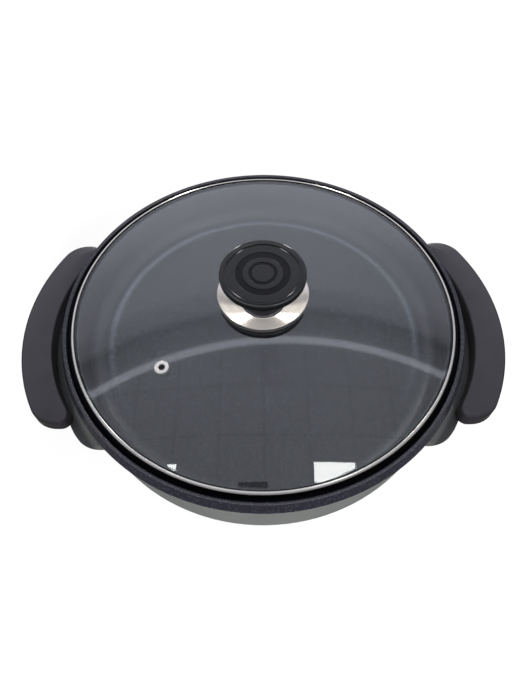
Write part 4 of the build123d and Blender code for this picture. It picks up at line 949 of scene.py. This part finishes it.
class GRIDDLE_OT_vent(bpy.types.Operator):
    """Build the steam vent's rolled eyelet, square to the dome where it sits"""

    bl_idname = "griddle.vent"
    bl_label = "Steam vent"

    def execute(self, context):
        shape = context.scene.griddle_shape
        low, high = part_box("vent_eyelet")
        middle = (low + high) / 2
        _, sphere = dome(shape)
        centre = Vector((0, 0, GLASS_APEX - sphere))
        normal = (middle - centre).normalized()
        foot = centre + normal * (sphere + shape.vent_gasket)
        flange, bore, thick = shape.vent_flange, shape.vent_bore, shape.vent_thick
        barrel = bore + 0.7 * MM
        depth = shape.glass_thickness + shape.vent_gasket
        lip = -depth - 0.8 * MM
        profile = rounded(
            [
                (bore, -depth),
                (bore, thick),
                (flange, thick),
                (flange, 0.0),
                (barrel, 0.0),
                (barrel, -depth),
                (shape.vent_swage, -depth),
                (shape.vent_swage, lip),
                (bore, lip),
            ],
            [0, 1.1 * MM, 0.62 * MM, 0.35 * MM, 0, 0, 0.3 * MM, 0.3 * MM, 0.3 * MM],
            8,
        )
        piece = turned("vent_eyelet_rolled", profile, 96)
        turn = Vector((0, 0, 1)).rotation_difference(normal).to_matrix().to_4x4()
        piece.data.transform(Matrix.Translation(foot) @ turn)
        place(piece, "lid", "rolled stainless steel", "ring_steel", "vent_eyelet")
        return {"FINISHED"}


class GRIDDLE_OT_stage(bpy.types.Operator):
    """Set up the floor, the lamps, the surroundings and the camera"""

    bl_idname = "griddle.stage"
    bl_label = "Stage"

    def execute(self, context):
        settings = context.scene.griddle_stage
        scene = context.scene
        scene.view_settings.view_transform = "Standard"
        target = Vector(settings.target)
        climb, turn = settings.elevation, settings.azimuth
        away = Vector(
            (math.cos(climb) * math.sin(turn), -math.cos(climb) * math.cos(turn), math.sin(climb))
        )
        camera = bpy.data.objects.new("camera", bpy.data.cameras.new("camera"))
        camera.data.lens = settings.focal_length
        camera.data.sensor_width = 36.0
        camera.data.sensor_fit = "AUTO"
        camera.data.shift_x, camera.data.shift_y = settings.shift
        camera.data.clip_start = 0.01
        look = (-away).to_track_quat("-Z", "Y").to_matrix().to_4x4()
        tilt = Matrix.Rotation(-settings.roll, 4, "Z")
        camera.matrix_world = Matrix.Translation(target + away * settings.distance) @ look @ tilt
        scene.collection.objects.link(camera)
        scene.camera = camera
        self.floor(context, settings)
        self.world(scene, settings)
        self.lamp("key lamp", (-1.1, -0.25, 1.05), (0.35, 0.35), settings.key_power)
        self.lamp("top lamp", (0.1, 0.3, 1.7), (1.6, 1.6), settings.top_power)
        self.lamp("front lamp", (0.1, -1.7, 0.75), (0.6, 0.6), settings.front_power)
        self.lamp("back lamp", (0.3, 1.6, 0.9), (0.6, 0.6), settings.back_power)
        self.lamp("right lamp", (1.6, 0.1, 0.8), (0.6, 0.6), settings.right_power)
        dark_gloss = "griddle_pan_coated", "knob_body_moulded"
        self.lamp("gloss lamp", (0.0, 0.25, 1.5), (1.8, 0.7), settings.gloss_power, dark_gloss)
        rolled = "lid_ring_rolled", "vent_eyelet_rolled"
        self.lamp("ring lamp", (0.0, 0.2, 1.7), (1.6, 1.6), settings.ring_power, rolled)
        self.lamp("steel lamp", (0.0, 1.9, 0.45), (2.6, 1.0), settings.steel_power, ("knob_dish_spun",))
        self.ceiling(settings)
        high = settings.ceiling_height - 10 * MM
        across, along, up = Vector((1, 0, 0)), Vector((0, 1, 0)), Vector((0, 0, 1))
        self.card("window", (0.300, 0.020, high), 0.258 * across, 0.150 * along, 12.0)
        self.card("small lamp", (-0.600, 0.100, high), 0.055 * across, 0.075 * along, 12.0)
        self.card("dark box", (-0.158, -0.150, high), 0.176 * across, 0.200 * along, 0.0)
        self.card("back window left", (-0.60, 1.9, 0.1), 0.16 * across, 0.9 * up, 18.0)
        self.card("back window right", (0.42, 1.95, 0.1), 0.20 * across, 0.9 * up, 18.0)
        self.card("front window", (-0.9, -2.5, 0.05), 1.8 * across, 0.5 * up, 3.0)
        self.ring("dark cloth", (0.15, 1 * MM), (1.6, 1 * MM), 0.15)
        self.ring("dark wall", (2.4, 1 * MM), (2.4, 1.2), 0.3)
        return {"FINISHED"}

    def reflected(self, piece):
        """Keeps a piece of the surroundings for reflections, in front of glass or behind it."""
        hide(piece, "camera", "diffuse", "shadow", "volume_scatter")

    def card(self, name, corner, width, height, strength):
        """A glowing parallelogram seen only in reflections."""
        corner = Vector(corner)
        corners = [[corner, corner + width], [corner + height, corner + width + height]]
        self.glow(surface(name, np.array(corners), False, False), strength)

    def ring(self, name, start, end, strength):
        """A band turned about the object from one (radius, height) to another, seen only in reflections."""
        rows = [level(arc((0.0, 0.0), r, 0, 360, 48)[:-1], z) for r, z in (start, end)]
        self.glow(surface(name, np.stack(rows), False, True), strength)

    def glow(self, piece, strength):
        """Gives a piece of the surroundings an even light."""
        tree, _ = new_material("light of the " + piece.name)
        finish(tree, add(tree, "Emission", {"Color": (1, 1, 1, 1), "Strength": strength}))
        piece.data.materials.append(bpy.data.materials["light of the " + piece.name])
        self.reflected(piece)

    def ceiling(self, settings):
        """A tiled ceiling over the near side, with a bright cove along its far edge and a pale wall beyond.
        Its tone follows the distance from the middle of the cove's arc."""
        x, y = np.meshgrid(np.linspace(-5, 5, 11), np.linspace(-5, 5, 11))
        grid = np.stack([x, y, np.full_like(x, settings.ceiling_height)], 2)
        piece = surface("ceiling", grid, False, False)
        tree, at = new_material("tiled ceiling with a lit cove")
        centre = (*settings.cove_centre, settings.ceiling_height)
        away = add(tree, "VectorMath", {0: at, 1: centre}, operation="DISTANCE")
        # how far beyond the cove's middle in metres, and how bright: the near side, the cove, the shade
        # behind it, and the pale wall
        stops = [(-1.0, 0.7), (-0.08, 0.75), (-0.04, 0.8)]
        stops += [(-0.022, 2.2), (0.022, 2.2)]
        stops += [(0.047, 0.7), (0.1, 0.6), (0.28, 0.42)]
        stops += [(0.36, 0.8), (0.48, 0.9), (0.6, 1.12), (1.2, 1.3), (1.7, 1.6), (2.5, 1.7)]
        start, span, brightest = 2.0, 3.5, 2.5
        offset = add(tree, "MapRange", {"Value": away, "From Min": start, "From Max": start + span})
        curve = add(tree, "FloatCurve", {"Value": offset})
        points = curve.mapping.curves[0].points
        while len(points) < len(stops):
            points.new(0.5, 0.5)
        for point, (beyond, value) in zip(points, stops):
            point.location = ((settings.cove_radius + beyond - start) / span, value / brightest)
            point.handle_type = "VECTOR"
        curve.mapping.update()
        strength = add(tree, "Math", {0: curve, 1: brightest}, operation="MULTIPLY")
        wide, deep = settings.tile
        sockets = {"Vector": at, "Scale": 1.0, "Brick Width": wide, "Row Height": deep}
        for socket, tone in (("Color1", 1.0), ("Color2", 0.97), ("Mortar", 0.78)):
            sockets[socket] = (tone, tone, tone, 1)
        sockets |= {"Mortar Size": 9 * MM, "Mortar Smooth": 0.6}
        tiles = add(tree, "TexBrick", sockets, offset=0.0)
        edge = settings.cove_radius - 60 * MM
        sockets = {"Value": away, "From Min": edge, "From Max": edge + 30 * MM}
        near = add(tree, "MapRange", sockets | {"To Min": 1.0, "To Max": 0.0})
        lined = add(tree, "Mix", {"Factor": near, "A": (1, 1, 1, 1), "B": tiles}, data_type="RGBA")
        cool = linear(settings.room_tint)
        tinted = add(
            tree, "Mix", {"Factor": 1.0, "A": lined, "B": cool}, data_type="RGBA", blend_type="MULTIPLY"
        )
        finish(tree, add(tree, "Emission", {"Color": tinted, "Strength": strength}))
        piece.data.materials.append(bpy.data.materials["tiled ceiling with a lit cove"])
        self.reflected(piece)

    def lamp(self, name, at, size, power, shown_in=()):
        """A soft lamp that faces the object. It lights everything and shows in nothing, unless it is kept
        to the highlights of the pieces named."""
        light = bpy.data.lights.new(name, "AREA")
        light.shape = "RECTANGLE"
        light.size, light.size_y = size
        light.energy = power
        lamp = bpy.data.objects.new(name, light)
        spot = Vector(at)
        facing = (-spot).to_track_quat("-Z", "Y").to_matrix().to_4x4()
        lamp.matrix_world = Matrix.Translation(spot) @ facing
        hide(lamp, "camera", "diffuse" if shown_in else "glossy", "transmission")
        if shown_in:
            receivers = bpy.data.collections.new("lit by the " + name)
            for piece in shown_in:
                receivers.objects.link(bpy.data.objects[piece])
            lamp.light_linking.receiver_collection = receivers
        bpy.context.scene.collection.objects.link(lamp)

    def seen(self, tree):
        """One for a ray from the camera, from a reflection or through glass, and nothing for the others."""
        path = add(tree, "LightPath").outputs
        direct = add(tree, "Math", {0: path["Is Camera Ray"], 1: path["Is Glossy Ray"]}, operation="MAXIMUM")
        return add(tree, "Math", {0: direct, 1: path["Is Transmission Ray"]}, operation="MAXIMUM")

    def floor(self, context, settings):
        """A sheet of white paper. Near the object most of the white that is seen of it is its own, so that it
        keeps a soft shadow, and farther off all of it is. It throws little light back up."""
        bpy.ops.mesh.primitive_grid_add(x_subdivisions=8, y_subdivisions=8, size=30.0)
        sheet = context.object
        sheet.name = "floor"
        tree, at = new_material("white studio paper")
        seen = self.seen(tree)
        away = add(tree, "VectorMath", {0: at}, operation="LENGTH").outputs["Value"]
        sockets = {"Value": away, "From Min": 0.45, "From Max": 1.0, "To Min": settings.own_white}
        share_of = add(tree, "MapRange", sockets)
        dim, bright = linear(settings.bounce), linear("#f7f7f7")
        tone = add(tree, "Mix", {"Factor": seen, "A": dim, "B": bright}, data_type="RGBA")
        paper = add(tree, "BsdfPrincipled", {"Base Color": tone, "Roughness": 0.9})
        own = add(tree, "Math", {0: seen, 1: share_of}, operation="MULTIPLY")
        white = add(tree, "Emission", {"Color": (1, 1, 1, 1), "Strength": 1.0})
        finish(tree, add(tree, "MixShader", {"Fac": own, 1: paper, 2: white}))
        sheet.data.materials.append(bpy.data.materials["white studio paper"])

    def world(self, scene, settings):
        """White where it is seen, reflected or looked at through glass, and a plain even light elsewhere."""
        scene.world = bpy.data.worlds.new("studio")
        scene.world.use_nodes = True
        tree = scene.world.node_tree
        even = add(tree, "Background", {"Color": (1, 1, 1, 1), "Strength": settings.daylight})
        white = add(tree, "Background", {"Color": (1, 1, 1, 1), "Strength": 1.0})
        mix = add(tree, "MixShader", {"Fac": self.seen(tree), 1: even, 2: white})
        tree.links.new(mix.outputs["Shader"], tree.nodes["World Output"].inputs["Surface"])


class GRIDDLE_PT_sidebar(bpy.types.Panel):
    """Lists the steps that dress the griddle"""

    bl_label = "Electric griddle"
    bl_idname = "GRIDDLE_PT_sidebar"
    bl_space_type = "VIEW_3D"
    bl_region_type = "UI"
    bl_category = "Griddle"

    def draw(self, context):
        for operator in OPERATORS:
            self.layout.operator(operator.bl_idname)


OPERATORS = (
    GRIDDLE_OT_finishes,
    GRIDDLE_OT_pan,
    GRIDDLE_OT_lid,
    GRIDDLE_OT_vent,
    GRIDDLE_OT_knob,
    GRIDDLE_OT_handles,
    GRIDDLE_OT_stage,
)
GROUPS = {"griddle_finish": GriddleFinish, "griddle_shape": GriddleShape, "griddle_stage": GriddleStage}


def register():
    for group in GROUPS.values():
        bpy.utils.register_class(group)
    for name, group in GROUPS.items():
        setattr(bpy.types.Scene, name, PointerProperty(type=group))
    for operator in OPERATORS:
        bpy.utils.register_class(operator)
    bpy.utils.register_class(GRIDDLE_PT_sidebar)


def unregister():
    bpy.utils.unregister_class(GRIDDLE_PT_sidebar)
    for operator in reversed(OPERATORS):
        bpy.utils.unregister_class(operator)
    for name in GROUPS:
        delattr(bpy.types.Scene, name)
    for group in reversed(list(GROUPS.values())):
        bpy.utils.unregister_class(group)


def main():
    register()
    bpy.ops.griddle.finishes()
    bpy.ops.griddle.pan()
    bpy.ops.griddle.lid()
    bpy.ops.griddle.vent()
    bpy.ops.griddle.knob()
    bpy.ops.griddle.handles()
    bpy.ops.griddle.stage()
    bpy.context.view_layer.update()


if __name__ == "__main__":
    main()
